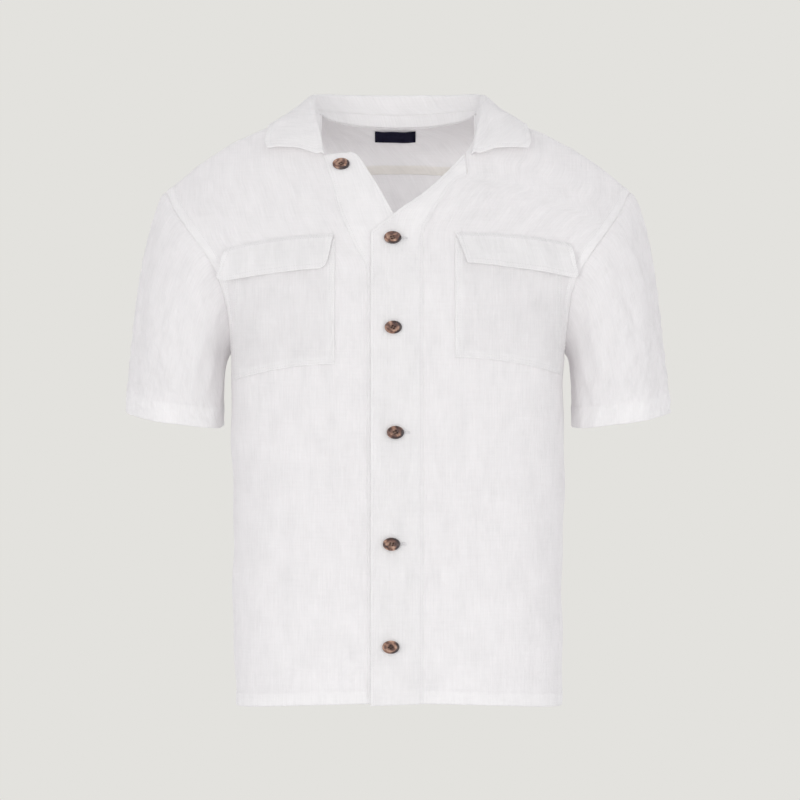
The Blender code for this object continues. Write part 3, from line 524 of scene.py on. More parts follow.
HEM_TURN = 0.0148              # height of the turned hem up to its stitches
ARMHOLE_BAND = 0.0105          # width of the raised allowances beside the armhole
ARMHOLE_RISE = 0.0009
ARMHOLE_ROW = 0.0090           # of the stitches from the armhole
DOUBLE_FADE = 0.002            # over which single cloth becomes double
SINGLE_THICK = 0.0008
HEM_THICK = 0.0020
HEM_STEP = 0.0012              # over which the one becomes the other
PLACKET_SEAM = np.array([(0.0283, -0.658), (0.0283, -0.130), (0.0370, -0.1051), (0.0478, -0.0866),
                         (0.0593, -0.0690), (0.0690, -0.0600), (0.0801, -0.0544)])
LEFT_NECK = np.array([(0.0778, -0.0322), (0.0850, -0.0180), (0.0885, -0.005), (0.0880, 0.0185)])
BAND_SEAM = np.array([(-0.0345, -0.658), (-0.0345, -0.176), (-0.050, -0.135), (-0.066, -0.0972),
                      (-0.0737, -0.0698), (-0.0825, -0.0416), (-0.0861, -0.0318)])
RIGHT_NECK = np.array([(-0.0885, -0.005), (-0.0880, 0.0185)])
FRONT_CELLS = (104, 134, 100)  # across, up to the underarm, and from there to the shoulder


def curve_through(outline, each=40):
    """Points of a smooth curve through an outline's corners."""
    return smooth(outline, np.linspace(0, len(outline) - 1, each * (len(outline) - 1) + 1))


def front_grid(band_seam, neck):
    """Places of a front's rows and the across value of its inner edge on each."""
    outline = curve_through(np.vstack([band_seam, neck]))
    lower = even_places(FRONT_FORM, 0.0, UNDERARM, FRONT_CELLS[1], 0.6)
    upper = even_places(FRONT_FORM, UNDERARM, SHOULDER, FRONT_CELLS[2], 0.5)[1:]
    places = np.concatenate([lower, upper])
    heights = np.maximum.accumulate(locate(FRONT_FORM, np.abs(outline[:, 0]), outline[:, 1]))
    return places, across_at(FRONT_FORM, np.interp(places, heights, outline[:, 0]), places)


def hem_thickness(height, turn):
    """Cloth thickness that grows to that of the turned hem below its stitches."""
    return SINGLE_THICK + (HEM_THICK - SINGLE_THICK) * ease((turn + HEM_STEP - height) / HEM_STEP)


def armhole_band(arm, on_arm=1.0):
    """Height of the allowances beside the armhole, dipped along their stitches, and where the cloth is double."""
    doubled = ease((ARMHOLE_BAND - arm) / DOUBLE_FADE) * on_arm
    return ARMHOLE_RISE * doubled + stitched(arm, ARMHOLE_ROW) * on_arm, doubled


def make_panel(name, side, points, normals, places, far, arm, relief, seed):
    """A front or the back: its relief with the armhole's band, the hem and puckers along both, as a shell."""
    on_arm = ease((places - UNDERARM) / 0.25)
    band, on_band = armhole_band(arm, on_arm)
    relief = relief + band + puckers(far["bottom"], arm - ARMHOLE_BAND, seed) * on_arm
    relief += stitched(far["bottom"], HEM_TURN) + puckers(far["first"], far["bottom"] - HEM_TURN, seed + 1)
    points = points + normals * relief[..., None]
    weave = np.stack([far["first"] * side, points[..., 2]], -1)
    doubled = np.maximum(ease((HEM_TURN - far["bottom"]) / DOUBLE_FADE), on_band)
    return points, shell(name, points, normals, hem_thickness(far["bottom"], HEM_TURN), weave, doubled, linen)


def make_front(name, side, band_seam, neck, seed):
    """A front: the form's patch from the band's seam to the side, with relief and a dip at every seam."""
    places, start = front_grid(band_seam, neck)
    across = start[:, None] + (1 - start[:, None]) * crowded(FRONT_CELLS[0])
    grid = np.broadcast_to(places[:, None], across.shape)
    points, normals = form(FRONT_FORM, side, across, grid), form_normal(FRONT_FORM, side, across, grid)
    far = arc_lengths(points)
    relief = front_relief(points[..., 0], points[..., 2])
    relief += seamed(far["last"]) + seamed(slanted(points, far["first"], "first"), 0.0003) + seamed(far["top"])
    points, piece = make_panel(name, side, points, normals, grid, far, slanted(points, far["last"], "last"),
                               relief, seed)
    cloth(piece)
    return points, normals, far, grid


front_left = make_front("front_left_cloth", 1.0, PLACKET_SEAM, LEFT_NECK, 11)
front_right = make_front("front_right_cloth", -1.0, BAND_SEAM, RIGHT_NECK, 21)

# ---- Back and yoke ---------------------------------------------------------------------------------------------
# The back is one whole panel from the hem to the yoke seam. The yoke is the panel above it, from that seam to the
# neck seam and both shoulder seams. Both are the same linen, joined by a felled seam with one row of stitches.
NECK_HALF_WIDTH = 0.088
NECK_BACK = 0.068
NECK_POWER = 2.3
YOKE_SEAM_PLACE = 8.82
YOKE_ROW = 0.006               # of the stitches from the yoke seam
YOKE_TAPE = 0.0108             # width of that seam's allowances
YOKE_THICK = 0.0009
YOKE_SEAM_THICK = 0.0017       # where the felled seam lies under it
YOKE_CELLS = (48, 72, 40)      # across each shoulder, round the neck, and from the yoke seam up
BACK_CELLS = (150, 128, 62)    # across, up to the underarm, and from there to the yoke seam
BACK_FOLDS = [
    # start x, start z, end x, end z, width, height, bow, seen with +X to the right
    (-105, -90, -70, -260, 17, 1.6, 10),
    (-55, -85, -45, -300, 15, -1.4, -8),
    (2, -85, 12, -330, 18, 1.3, 6),
    (62, -85, 52, -270, 15, 1.5, -9),
    (112, -90, 90, -250, 17, -1.4, 8),
    (-190, -120, -165, -220, 10, 1.8, 4),
    (-205, -150, -175, -235, 8, -1.6, 2),
    (188, -125, 162, -225, 10, 1.7, -4),
    (204, -148, 174, -230, 8, -1.6, -2),
    (-140, -330, -120, -560, 19, 1.5, 10),
    (-85, -360, -95, -600, 17, -1.3, -8),
    (-30, -350, -15, -580, 19, 1.4, 12),
    (38, -370, 45, -620, 16, -1.2, -6),
    (95, -340, 85, -570, 19, 1.4, 10),
    (145, -360, 135, -600, 17, -1.3, -6),
    (-130, -640, -90, -605, 7, -1.2, 3),
    (80, -645, 125, -610, 7.5, -1.2, -3),
]


def back_relief(x, z):
    """The body relief of the back, shared by the yoke and the label."""
    return body_relief(x, z, BACK_FOLDS, (31, 33), 0.120, 0.0013)


def neck_back_y(x):
    """How far back the neck seam lies, on a superellipse round the neck."""
    share = np.clip(np.abs(x) / NECK_HALF_WIDTH, 0, 1)
    return NECK_BACK * (1 - share**NECK_POWER) ** (1 / NECK_POWER)


def mirrored_form(across, places):
    """Points and normals of the back form for signed across values, mirrored for negative ones."""
    side = np.where(across < 0, -1.0, 1.0)
    inside = np.maximum(np.abs(across), 1e-4)
    points, normals = form(BACK_FORM, 1.0, np.abs(across), places), form_normal(BACK_FORM, 1.0, inside, places)
    points[..., 0] *= side
    normals[..., 0] *= side
    return points, normals


def make_back():
    """The back: rows from the hem to the yoke seam, with relief and a dip at every seam."""
    lower = even_places(BACK_FORM, 0.0, UNDERARM, BACK_CELLS[1], 0.6)
    upper = even_places(BACK_FORM, UNDERARM, YOKE_SEAM_PLACE, BACK_CELLS[2], 0.5)[1:]
    across, places = np.meshgrid(2 * crowded(BACK_CELLS[0], 0.3) - 1, np.concatenate([lower, upper]))
    points, normals = mirrored_form(across, places)
    far = arc_lengths(points)
    arm = np.minimum(slanted(points, far["first"], "first"), slanted(points, far["last"], "last"))
    relief = back_relief(points[..., 0], points[..., 2])
    relief += seamed(np.minimum(far["first"], far["last"])) + seamed(far["top"])
    points, piece = make_panel("back_cloth", 1.0, points, normals, places, far, arm, relief, 41)
    cloth(piece)
    return points, normals, far, places


def make_yoke():
    """The yoke: columns from the yoke seam up to the neck seam or a shoulder seam, with a dip at every seam."""
    reach = across_at(FRONT_FORM, np.array(NECK_HALF_WIDTH), np.array(SHOULDER))
    outer = reach + (1 - reach) * crowded(YOKE_CELLS[0])[1:]
    turn = np.linspace(-np.pi / 2, np.pi / 2, YOKE_CELLS[1] + 1)
    neck_x = NECK_HALF_WIDTH * np.sin(turn)
    inner = across_at(BACK_FORM, neck_x, np.full(neck_x.shape, SHOULDER)) * np.sign(neck_x)
    columns = np.concatenate([-outer[::-1], inner, outer])
    top = np.full(columns.shape, SHOULDER)
    inside = np.abs(columns) < reach - 1e-6
    for _ in range(14):
        x = form(BACK_FORM, 1.0, np.abs(columns), top)[..., 0]
        top = np.where(inside, (top + locate(BACK_FORM, x, neck_back_y(x), 1, YOKE_SEAM_PLACE)) / 2, SHOULDER)
    places = YOKE_SEAM_PLACE + crowded(YOKE_CELLS[2], 0.5)[:, None] * (top - YOKE_SEAM_PLACE)
    across = np.broadcast_to(columns, places.shape)
    points, normals = mirrored_form(across, places)
    far = arc_lengths(points)
    arm = np.minimum(slanted(points, far["first"], "first"), slanted(points, far["last"], "last"))
    relief = back_relief(points[..., 0], points[..., 2])
    relief += seamed(far["bottom"]) + stitched(far["bottom"], YOKE_ROW)
    relief += puckers(far["first"], far["bottom"], 52)
    relief += seamed(np.minimum(far["first"], far["last"])) + seamed(far["top"])
    band, on_band = armhole_band(arm)
    folded = ease((YOKE_TAPE - far["bottom"]) / HEM_STEP)
    relief += band - 0.0003 * folded
    points = points + normals * relief[..., None]
    weave = np.stack([far["first"], points[..., 2] - points[..., 1]], -1)
    thick = YOKE_THICK + (YOKE_SEAM_THICK - YOKE_THICK) * folded
    piece = shell("yoke_cloth", points, normals, thick, weave, np.maximum(on_band, folded), linen, taped=folded)
    cloth(piece)
    return points, normals, far, places


back = make_back()
yoke = make_yoke()

# ---- Sleeves ---------------------------------------------------------------------------------------------------
# Short wide sleeves of one piece each, closed by an underarm seam and set into the armhole. The lower edge is
# turned up in a deep hem and stitched. The cloth leaves the armhole sideways and falls almost straight down.
CUFF_CENTRE = (0.2587, 0.0, -0.3345)
CUFF_HALF_WIDTH = 0.0553
CUFF_HALF_DEPTH = 0.0690
CUFF_SQUARING = 0.84           # power on the ellipse's cosine and sine, which flattens its front and back
CUFF_OUTER_RISE = 0.0090
CUFF_FRONT_DROP = 0.0050
SLEEVE_LEAVES = (0.92, 0.0, -0.38)
UNDERARM_LEAVES = (0.85, 0.0, -0.52)
UNDERARM_TURN = 0.30           # share of the armhole's height up to which the sleeve leaves more downward
SLEEVE_ARRIVES = (0.06, 0.0, -1.0)
SLEEVE_PULL = (0.048, 0.110, 0.085)    # at the underarm, the middle and the top
SLEEVE_FALL = (0.08, 0.14)
SLEEVE_GIRTH = 0.44                    # of the cloth, from its underarm seam all round
SLEEVE_RUN = 0.235                     # of its folds' table, from the armhole to the cuff
SLEEVE_CALM = 0.030                    # below the armhole seam, over which folds fade in
SLEEVE_CELLS = (168, 96)               # round the arm and along it
CUFF_TURN = 0.0240
SLEEVE_FOLDS = [
    # start round, start along, end round, end along, width, height, bow; round grows from the top to the front
    (55, 30, 45, 150, 8.5, 2.2, 3),
    (100, 35, 70, 170, 9, -2, 4),
    (140, 45, 120, 190, 10, 2.2, -5),
    (185, 60, 150, 200, 9.5, -1.8, 6),
    (205, 20, 190, 120, 9, 1.8, 3),
    (20, 110, 35, 200, 8, -1.5, 2),
    (80, 150, 110, 215, 6, 1.3, 2),
    (150, 160, 135, 215, 6, -1.2, 2),
    (310, 30, 330, 180, 10, 2, 4),
    (350, 40, 370, 190, 9, -1.9, -4),
    (395, 30, 400, 170, 10, 2.1, 4),
    (440, 50, 425, 200, 9, -1.6, 3),
    (250, 70, 255, 160, 8, 1.5, 2),
]


SLEEVE_WAVES = [
    # waves round the sleeve, how they lean along it, height, phase for each unit of the seed
    (3, 1.5, 0.0007, 1.0), (5, -2.0, 0.0008, 2.1), (8, 3.0, 0.0006, 3.3), (11, -3.5, 0.0004, 4.7),
    (17, 5.0, 0.0003, 1.9),
]
CUFF_CRUMPLES = [
    (14, 30.0, 0.00035, 1.0), (23, -38.0, 0.00032, 1.7), (31, 52.0, 0.00028, 2.9), (9, 47.0, 0.00030, 3.7),
    (38, -66.0, 0.00020, 0.6),
]


def waves_round(girth, run, table, seed):
    """Sum of cosines, each with a whole number of waves round a sleeve and a lean along it."""
    return sum(height * np.cos(2 * np.pi * (count * girth + run * lean) + phase * seed)
               for count, lean, height, phase in table)


def armhole_points(side, count):
    """The armhole's ring, from its top down the front to the underarm and up the back, evenly by length."""
    places = np.linspace(UNDERARM, SHOULDER, 400)
    front = form(FRONT_FORM, side, 1.0, places)[::-1]
    rear = form(BACK_FORM, side, 1.0, places)[1:]
    halves = []
    for half in (front, rear):
        lengths = lengths_up(half)
        even = np.linspace(0, lengths[-1], count // 2 + 1)[:-1]
        halves.append(np.stack([np.interp(even, lengths, half[:, k]) for k in range(3)], -1))
    return np.concatenate(halves)


def make_sleeve(name, side, seed):
    """A sleeve: cubic curves from the armhole to the cuff's ellipse, with a given direction at each end.

    Folds run along it, small crumples grow towards the cuff, and everything fades out at the armhole seam. The
    first column is at the underarm, where the sleeve is sewn closed.
    """
    round_count, along_count = SLEEVE_CELLS
    start = np.roll(armhole_points(side, round_count), round_count // 2, axis=0)
    turn = np.roll(np.linspace(0, 2 * np.pi, round_count, endpoint=False), round_count // 2)
    wide, deep = (np.sign(part) * np.abs(part) ** CUFF_SQUARING for part in (np.cos(turn), np.sin(turn)))
    cuff = np.stack([CUFF_CENTRE[0] + CUFF_HALF_WIDTH * wide, CUFF_CENTRE[1] - CUFF_HALF_DEPTH * deep,
                     CUFF_CENTRE[2] + CUFF_OUTER_RISE * np.cos(turn) - CUFF_FRONT_DROP * np.sin(turn)], -1)
    cuff *= (side, 1, 1)
    height = (1 + np.cos(turn)) / 2
    pull = np.interp(height, (0.0, 0.5, 1.0), SLEEVE_PULL)[:, None]
    down_turn = np.clip(1 - height / UNDERARM_TURN, 0, 1)[:, None]
    leaves = np.array(SLEEVE_LEAVES) * (1 - down_turn) + np.array(UNDERARM_LEAVES) * down_turn
    leaves = leaves * (side, 1, 1) * pull
    arrives = np.array(SLEEVE_ARRIVES) * (side, 1, 1) * np.interp(height, (0.0, 1.0), SLEEVE_FALL)[:, None]
    points = hermite(crowded(along_count, 0.5)[:, None, None], start, leaves, cuff, arrives)
    normals = grid_normals(points, ring=True) * side
    down = lengths_up(points)
    up = down[-1:] - down
    girth = np.broadcast_to(turn / (2 * np.pi), down.shape)
    round_run = girth * SLEEVE_GIRTH
    run = down * (SLEEVE_RUN / down[-1:].mean())
    relief = folds(round_run, run, SLEEVE_FOLDS) + folds(round_run - SLEEVE_GIRTH, run, SLEEVE_FOLDS)
    relief += waves_round(girth, run, SLEEVE_WAVES, seed)
    relief += waves_round(girth, run, CUFF_CRUMPLES, seed) * (0.35 + 0.65 * ease((run - 0.09) / 0.12))
    relief *= ease(down / SLEEVE_CALM)
    from_seam = np.broadcast_to(np.arange(round_count) * SLEEVE_GIRTH / round_count, down.shape)
    relief += stitched(up, CUFF_TURN) + puckers(from_seam, up - CUFF_TURN, int(seed * 10), 0.0004, 0.012)
    relief += seamed(down, 0.0007, 0.0018)
    points = points + normals * relief[..., None]
    weave = np.stack([from_seam, run], -1)
    thick = hem_thickness(up, CUFF_TURN)
    doubled = ease((CUFF_TURN - up) / DOUBLE_FADE)
    piece = shell(name, points, normals, thick, weave, doubled, linen, ring=True, girth=SLEEVE_GIRTH)
    cloth(piece)
    return points, normals, down


sleeve_left = make_sleeve("sleeve_left_cloth", 1.0, 1.3)
sleeve_right = make_sleeve("sleeve_right_cloth", -1.0, 4.4)

# ---- Placket and button band -----------------------------------------------------------------------------------
# Straight strips of doubled linen. The band on the wearer's right front carries the buttons. The placket on the
# left front laps over it and carries the button holes. Both are sewn to their front and stitched along the edges.
BAND_CELLS = (24, 300)
BAND_EDGE = np.array([(0.0235, -0.656), (0.0235, -0.160), (0.0150, -0.137), (-0.0045, -0.1023),
                      (-0.0255, -0.0648), (-0.0446, -0.0349), (-0.0485, -0.0305), (-0.0545, -0.0280)])
PLACKET_EDGE = np.array([(-0.0305, -0.6585), (-0.0305, -0.125), (-0.0235, -0.117), (-0.0045, -0.1018),
                         (0.0353, -0.0717), (0.0642, -0.0434), (0.0760, -0.0307)])
BAND_THICK = 0.0013
PLACKET_LIFT = 0.0025          # over the button band
LAP_TOP = -0.0780              # above this height the two bands lie apart
BAND_ROW = 0.0030              # of the stitches from an edge


def on_front(x, z, lift):
    """Points and normals over the fronts' cloth at (x, z) seen from the front, moved out by lift and relief."""
    side = np.where(x < 0, -1.0, 1.0)
    place = locate(FRONT_FORM, x, z)
    across = np.maximum(across_at(FRONT_FORM, x, place), 2e-3)
    points, normals = form(FRONT_FORM, 1.0, across, place), form_normal(FRONT_FORM, 1.0, across, place)
    points[..., 0] = np.where(np.abs(x) < 2e-3, x, points[..., 0] * side)
    normals[..., 0] *= side * (np.abs(x) > 2e-3)
    normals = unit(normals)
    points[..., 2] += np.minimum(z - FRONT_FORM[0, 0], 0.0)
    return points + normals * (lift + front_relief(x, z))[..., None], normals


def make_strip(name, side, seam, neck, edge, lift, seed):
    """A strip from a front's inner edge to its own free edge, row by row, raised onto the lap past its seam."""
    places, across = front_grid(seam, neck)
    top = locate(FRONT_FORM, abs(seam[-1, 0]), seam[-1, 1])
    rows = crowded(BAND_CELLS[1], 0.3) * top
    heights = np.interp(rows, places, form(FRONT_FORM, 1.0, across, places)[:, 2])
    length = np.interp(np.linspace(heights[0], heights[-1], BAND_CELLS[1] + 1), heights, rows)
    seam_points = form(FRONT_FORM, side, np.interp(length, places, across), length)
    share = (seam_points[:, 2] - seam_points[0, 2]) / (seam_points[-1, 2] - seam_points[0, 2])
    fine = curve_through(edge)
    edge_z = edge[0, 1] + share * (edge[-1, 1] - edge[0, 1])
    edge_x = np.interp(edge_z, fine[:, 1], fine[:, 0])
    shares = crowded(BAND_CELLS[0], 0.7)
    x = seam_points[:, :1] + (edge_x[:, None] - seam_points[:, :1]) * shares
    z = seam_points[:, 2:] + (edge_z[:, None] - seam_points[:, 2:]) * shares
    flat = np.stack([x, z], -1)
    far = arc_lengths(flat)
    seam_far, edge_far = slanted(flat, far["first"], "first"), slanted(flat, far["last"], "last")
    raised = lift * ease(far["first"] / 0.0055) * ease((LAP_TOP - z) / 0.022)
    relief = 0.0005 * np.sin(z / 0.019 + seed) * np.sin(z / 0.007 + 2 * seed) * ease(edge_far / 0.01)
    relief += stitched(seam_far, BAND_ROW, 0.0002) + stitched(edge_far, BAND_ROW, 0.0002)
    relief += seamed(seam_far, 0.0003)
    relief += puckers(far["bottom"], seam_far, seed, 0.00025, 0.006)
    relief += puckers(far["bottom"], edge_far, seed + 1, 0.00025, 0.006)
    points, normals = on_front(x, z, raised + relief)
    weave = np.stack([far["first"] * side, z], -1)
    piece = shell(name, points, normals, BAND_THICK, weave, 1.0, linen)
    cloth(piece)
    return points, normals, seam_far, edge_far


band = make_strip("front_right_band_cloth", -1.0, BAND_SEAM, RIGHT_NECK, BAND_EDGE, 0.0, 61)
placket = make_strip("front_left_placket_cloth", 1.0, PLACKET_SEAM, LEFT_NECK, PLACKET_EDGE, PLACKET_LIFT, 71)

# ---- Patch pockets and flaps -----------------------------------------------------------------------------------
# A patch of linen on each front, sewn round three sides with two rows of stitches and open under its flap. The
# flap is doubled linen, sewn on above the pocket's mouth, and its loose lower edge stands off the pocket.
POCKET_CELLS = (96, 84)
FLAP_CELLS = (112, 40)
POCKET_LIFT = 0.0021
# For each side: |x| of the inner and outer edge, then z of the top and of the bottom at either corner. For a flap
# also how much further out its lower inner and outer corners are, and the radius of both.
POCKETS = {"left": (0.0650, 0.1870, (-0.1285, -0.1400), (-0.2650, -0.2835)),
           "right": (0.0718, 0.1870, (-0.1312, -0.1470), (-0.2725, -0.2905))}
FLAPS = {"left": (0.0650, 0.1965, (-0.1226, -0.1340), (-0.1582, -0.1725), 0.0125, 0.0068, (0.0040, 0.0060)),
         "right": (0.0728, 0.1955, (-0.1250, -0.1405), (-0.1645, -0.1768), 0.0060, 0.0085, (0.0140, 0.0110))}
POCKET_THICK = 0.0009
POCKET_TURN = 0.010            # width of the allowances turned under along its sewn edges
POCKET_FULLNESS = 0.0012       # how far its middle stands off more
FLAP_THICK = 0.0013
FLAP_FOOT = 0.0013             # of the middle of its cloth over the front, at its sewn top
FLAP_CLIMB = 0.0027            # over the pocket's mouth
FLAP_STAND = 0.0021            # further out, toward its loose edge
FLAP_BOW = 1.35                # power of its lower edge's fall toward the side
CORNER_LIFT = 0.85             # share of a quarter circle by which the lower corners are rounded
POCKET_ROWS = (0.0018, 0.0052)
FLAP_ROWS = (0.0018, 0.0056)


def patch(inner, outer, top, bottom, inner_slant, outer_slant, rounding, cells, bow=2.0):
    """(x, z) of a four-cornered patch, its share across and its height below the top.

    Columns are stepped evenly round the side and slant outward, and the lower corners are rounded by lifting the
    columns near them on a quarter circle.
    """
    u, v = np.meshgrid(crowded(cells[0], 0.75), crowded(cells[1], 0.6))
    middle = float(locate(FRONT_FORM, inner, (top[0] + bottom[0]) / 2))
    first, last = across_at(FRONT_FORM, np.array([inner, outer]), np.full(2, middle))
    x = form(FRONT_FORM, 1.0, first + (last - first) * u, middle)[..., 0]
    share = np.clip((x - inner) / (outer - inner), 0, 1)
    high = top[0] + (top[1] - top[0]) * share**2
    low = bottom[0] + (bottom[1] - bottom[0]) * share**bow
    for away, radius in zip((x - inner, outer - x), rounding):
        beside = np.clip(1 - away / radius, 0, 1)
        low = low + radius * (1 - np.sqrt(1 - beside**2)) * CORNER_LIFT
    x = x + v * (inner_slant * (1 - u) ** 4 + outer_slant * u**4)
    return x, high + (low - high) * v, u, (high - low) * v


def make_pocket(name, side, seed):
    """A pocket: the patch raised over the front, pressed down along its sewn sides, slightly full inside."""
    x, z, _, _ = patch(*POCKETS[name.split("_")[1]], 0.0, 0.0, (), POCKET_CELLS)
    far = arc_lengths(np.stack([x, z], -1))
    across_far = np.minimum(far["first"], far["last"])
    sewn = np.minimum(across_far, far["top"])
    relief = POCKET_LIFT - 0.0007 * np.exp(-(sewn / 0.003) ** 2)
    relief += POCKET_FULLNESS * ease(sewn / 0.05) * ease(far["bottom"] / 0.03)
    relief += sum(stitched(sewn, row, 0.0003) for row in POCKET_ROWS)
    relief += puckers(far["bottom"], across_far, seed, 0.0003, 0.008)
    relief += puckers(far["first"], far["top"], seed + 1, 0.0003, 0.008)
    relief += ripples(x, z, seed, 8, 0.060, 0.016, 0.0007, stretch=1.8) * ease(sewn / 0.012) \
        * ease(far["bottom"] / 0.03)
    points, normals = on_front(x * side, z, relief)
    weave = np.stack([far["first"] * side, z], -1)
    doubled = ease((POCKET_TURN - sewn) / DOUBLE_FADE)
    piece = shell(name, points, normals, POCKET_THICK, weave, doubled, linen)
    cloth(piece)
    return points, normals, far


def make_flap(name, side, seed):
    """A flap: its sewn top lies on the front, then it climbs over the pocket's mouth and stands off below."""
    x, z, u, down = patch(*FLAPS[name.split("_")[1]], FLAP_CELLS, FLAP_BOW)
    far = arc_lengths(np.stack([x, z], -1))
    edge_far = np.minimum(np.minimum(far["first"], far["last"]), far["top"])
    relief = FLAP_FOOT + FLAP_CLIMB * ease(down / 0.0052)
    relief = relief + FLAP_STAND * ease(down / 0.036) * (0.55 + 0.8 * u**2)
    relief += 0.0004 * np.exp(-((edge_far - 0.0008) / 0.0012) ** 2)
    relief += stitched(edge_far, FLAP_ROWS[0], 0.0002) + stitched(edge_far, FLAP_ROWS[1], 0.0003)
    relief += puckers(far["first"], down - 0.004, seed, 0.0003, 0.006)
    relief += (0.0007 * np.sin(x / 0.0095 + seed) + 0.0005 * np.sin(x / 0.0042 + 2 * seed)) * ease(down / 0.03)
    points, normals = on_front(x * side, z, relief)
    weave = np.stack([far["first"] * side, z], -1)
    piece = shell(name, points, normals, FLAP_THICK, weave, 1.0, linen)
    cloth(piece)
    return points, normals


pocket_left = make_pocket("pocket_left_cloth", 1.0, 81)
pocket_right = make_pocket("pocket_right_cloth", -1.0, 86)
flap_left = make_flap("flap_left_cloth", 1.0, 91)
flap_right = make_flap("flap_right_cloth", -1.0, 96)

# ---- Collar and its stand --------------------------------------------------------------------------------------
# An open camp collar of doubled linen. The stand rises from the neck seam at the back; the collar rises from it,
# rolls over and falls onto the shoulders, and both leaves end in points. One row of stitches follows its edge.
COLLAR_SECTIONS = np.array([
    # roll x, y, z, leaf edge x, y, z, stand share of the height below the roll
    (0.0000, 0.0740, 0.0425, 0.0000, 0.1110, -0.0180, 0.42),
    (0.0300, 0.0725, 0.0425, 0.0400, 0.1085, -0.0170, 0.42),
    (0.0580, 0.0660, 0.0425, 0.0800, 0.0980, -0.0130, 0.42),
    (0.0850, 0.0480, 0.0418, 0.1170, 0.0720, -0.0050, 0.40),
    (0.0970, 0.0220, 0.0390, 0.1400, 0.0300, 0.0060, 0.34),
    (0.0985, -0.0010, 0.0290, 0.1480, -0.0020, 0.0060, 0.22),
    (0.0945, -0.0250, 0.0092, 0.1515, -0.0200, -0.0040, 0.12),
    (0.0895, -0.0450, -0.0110, 0.1530, -0.0330, -0.0140, 0.08),
    (0.0870, -0.0600, -0.0300, 0.1500, -0.0440, -0.0225, 0.08),
])
COLLAR_ENDS = np.array([(0.0880, 0.0185), (0.0885, -0.005), (0.0835, -0.0310)])    # its foot on the fronts
STAND_END = 0.60
COLLAR_FOOT = 0.0013
ROLL_RADIUS = 0.0035
ROLL_LIMIT = 0.35
LEAF_BOW = ((0.45, 0.0035), (0.75, 0.0025))
COLLAR_CELLS = (300, 72)
COLLAR_THICK = 0.0015
COLLAR_ROW = 0.0060            # of the stitches from the edge


def collar_lines(count):
    """Signed positions along the collar, with its neck seam, roll, leaf edge and the stand's share there."""
    u = 2 * crowded(count, 0.55) - 1
    side = np.where(u < 0, -1.0, 1.0)
    table = smooth(np.vstack([COLLAR_SECTIONS[:0:-1] * (-1, 1, 1, -1, 1, 1, 1), COLLAR_SECTIONS]),
                   (u + 1) * (len(COLLAR_SECTIONS) - 1))
    turn = np.clip(np.abs(u) / STAND_END, 0, 1) * np.pi / 2
    back_x = NECK_HALF_WIDTH * np.sin(turn)
    place = locate(BACK_FORM, back_x, neck_back_y(back_x), 1, YOKE_SEAM_PLACE)
    seam_back = form(BACK_FORM, 1.0, across_at(BACK_FORM, back_x, place), place)
    along = np.clip((np.abs(u) - STAND_END) / (1 - STAND_END), 0, 1) * (len(COLLAR_ENDS) - 1)
    ends = smooth(COLLAR_ENDS, along)
    place = locate(FRONT_FORM, ends[:, 0], ends[:, 1])
    seam_front = form(FRONT_FORM, 1.0, across_at(FRONT_FORM, ends[:, 0], place), place)
    seam = np.where((np.abs(u) < STAND_END)[:, None], seam_back, seam_front)
    seam[:, 0] *= side
    return u, seam, table[:, :3], table[:, 3:6], table[:, 6:]


def through(rows, count, pull):
    """A finer grid on smooth curves through the rows of points, evenly spaced by length."""
    rows = np.stack(rows)
    dense = np.stack([smooth(rows[..., k], np.linspace(0, len(rows) - 1, 20 * (len(rows) - 1) + 1))
                      for k in range(3)], -1)
    lengths = lengths_up(dense)
    shares = crowded(count, pull)
    result = np.empty((count + 1, rows.shape[1], 3))
    for column, run in enumerate(lengths.T):
        for k in range(3):
            result[:, column, k] = np.interp(shares * run[-1], run, dense[:, column, k])
    return result


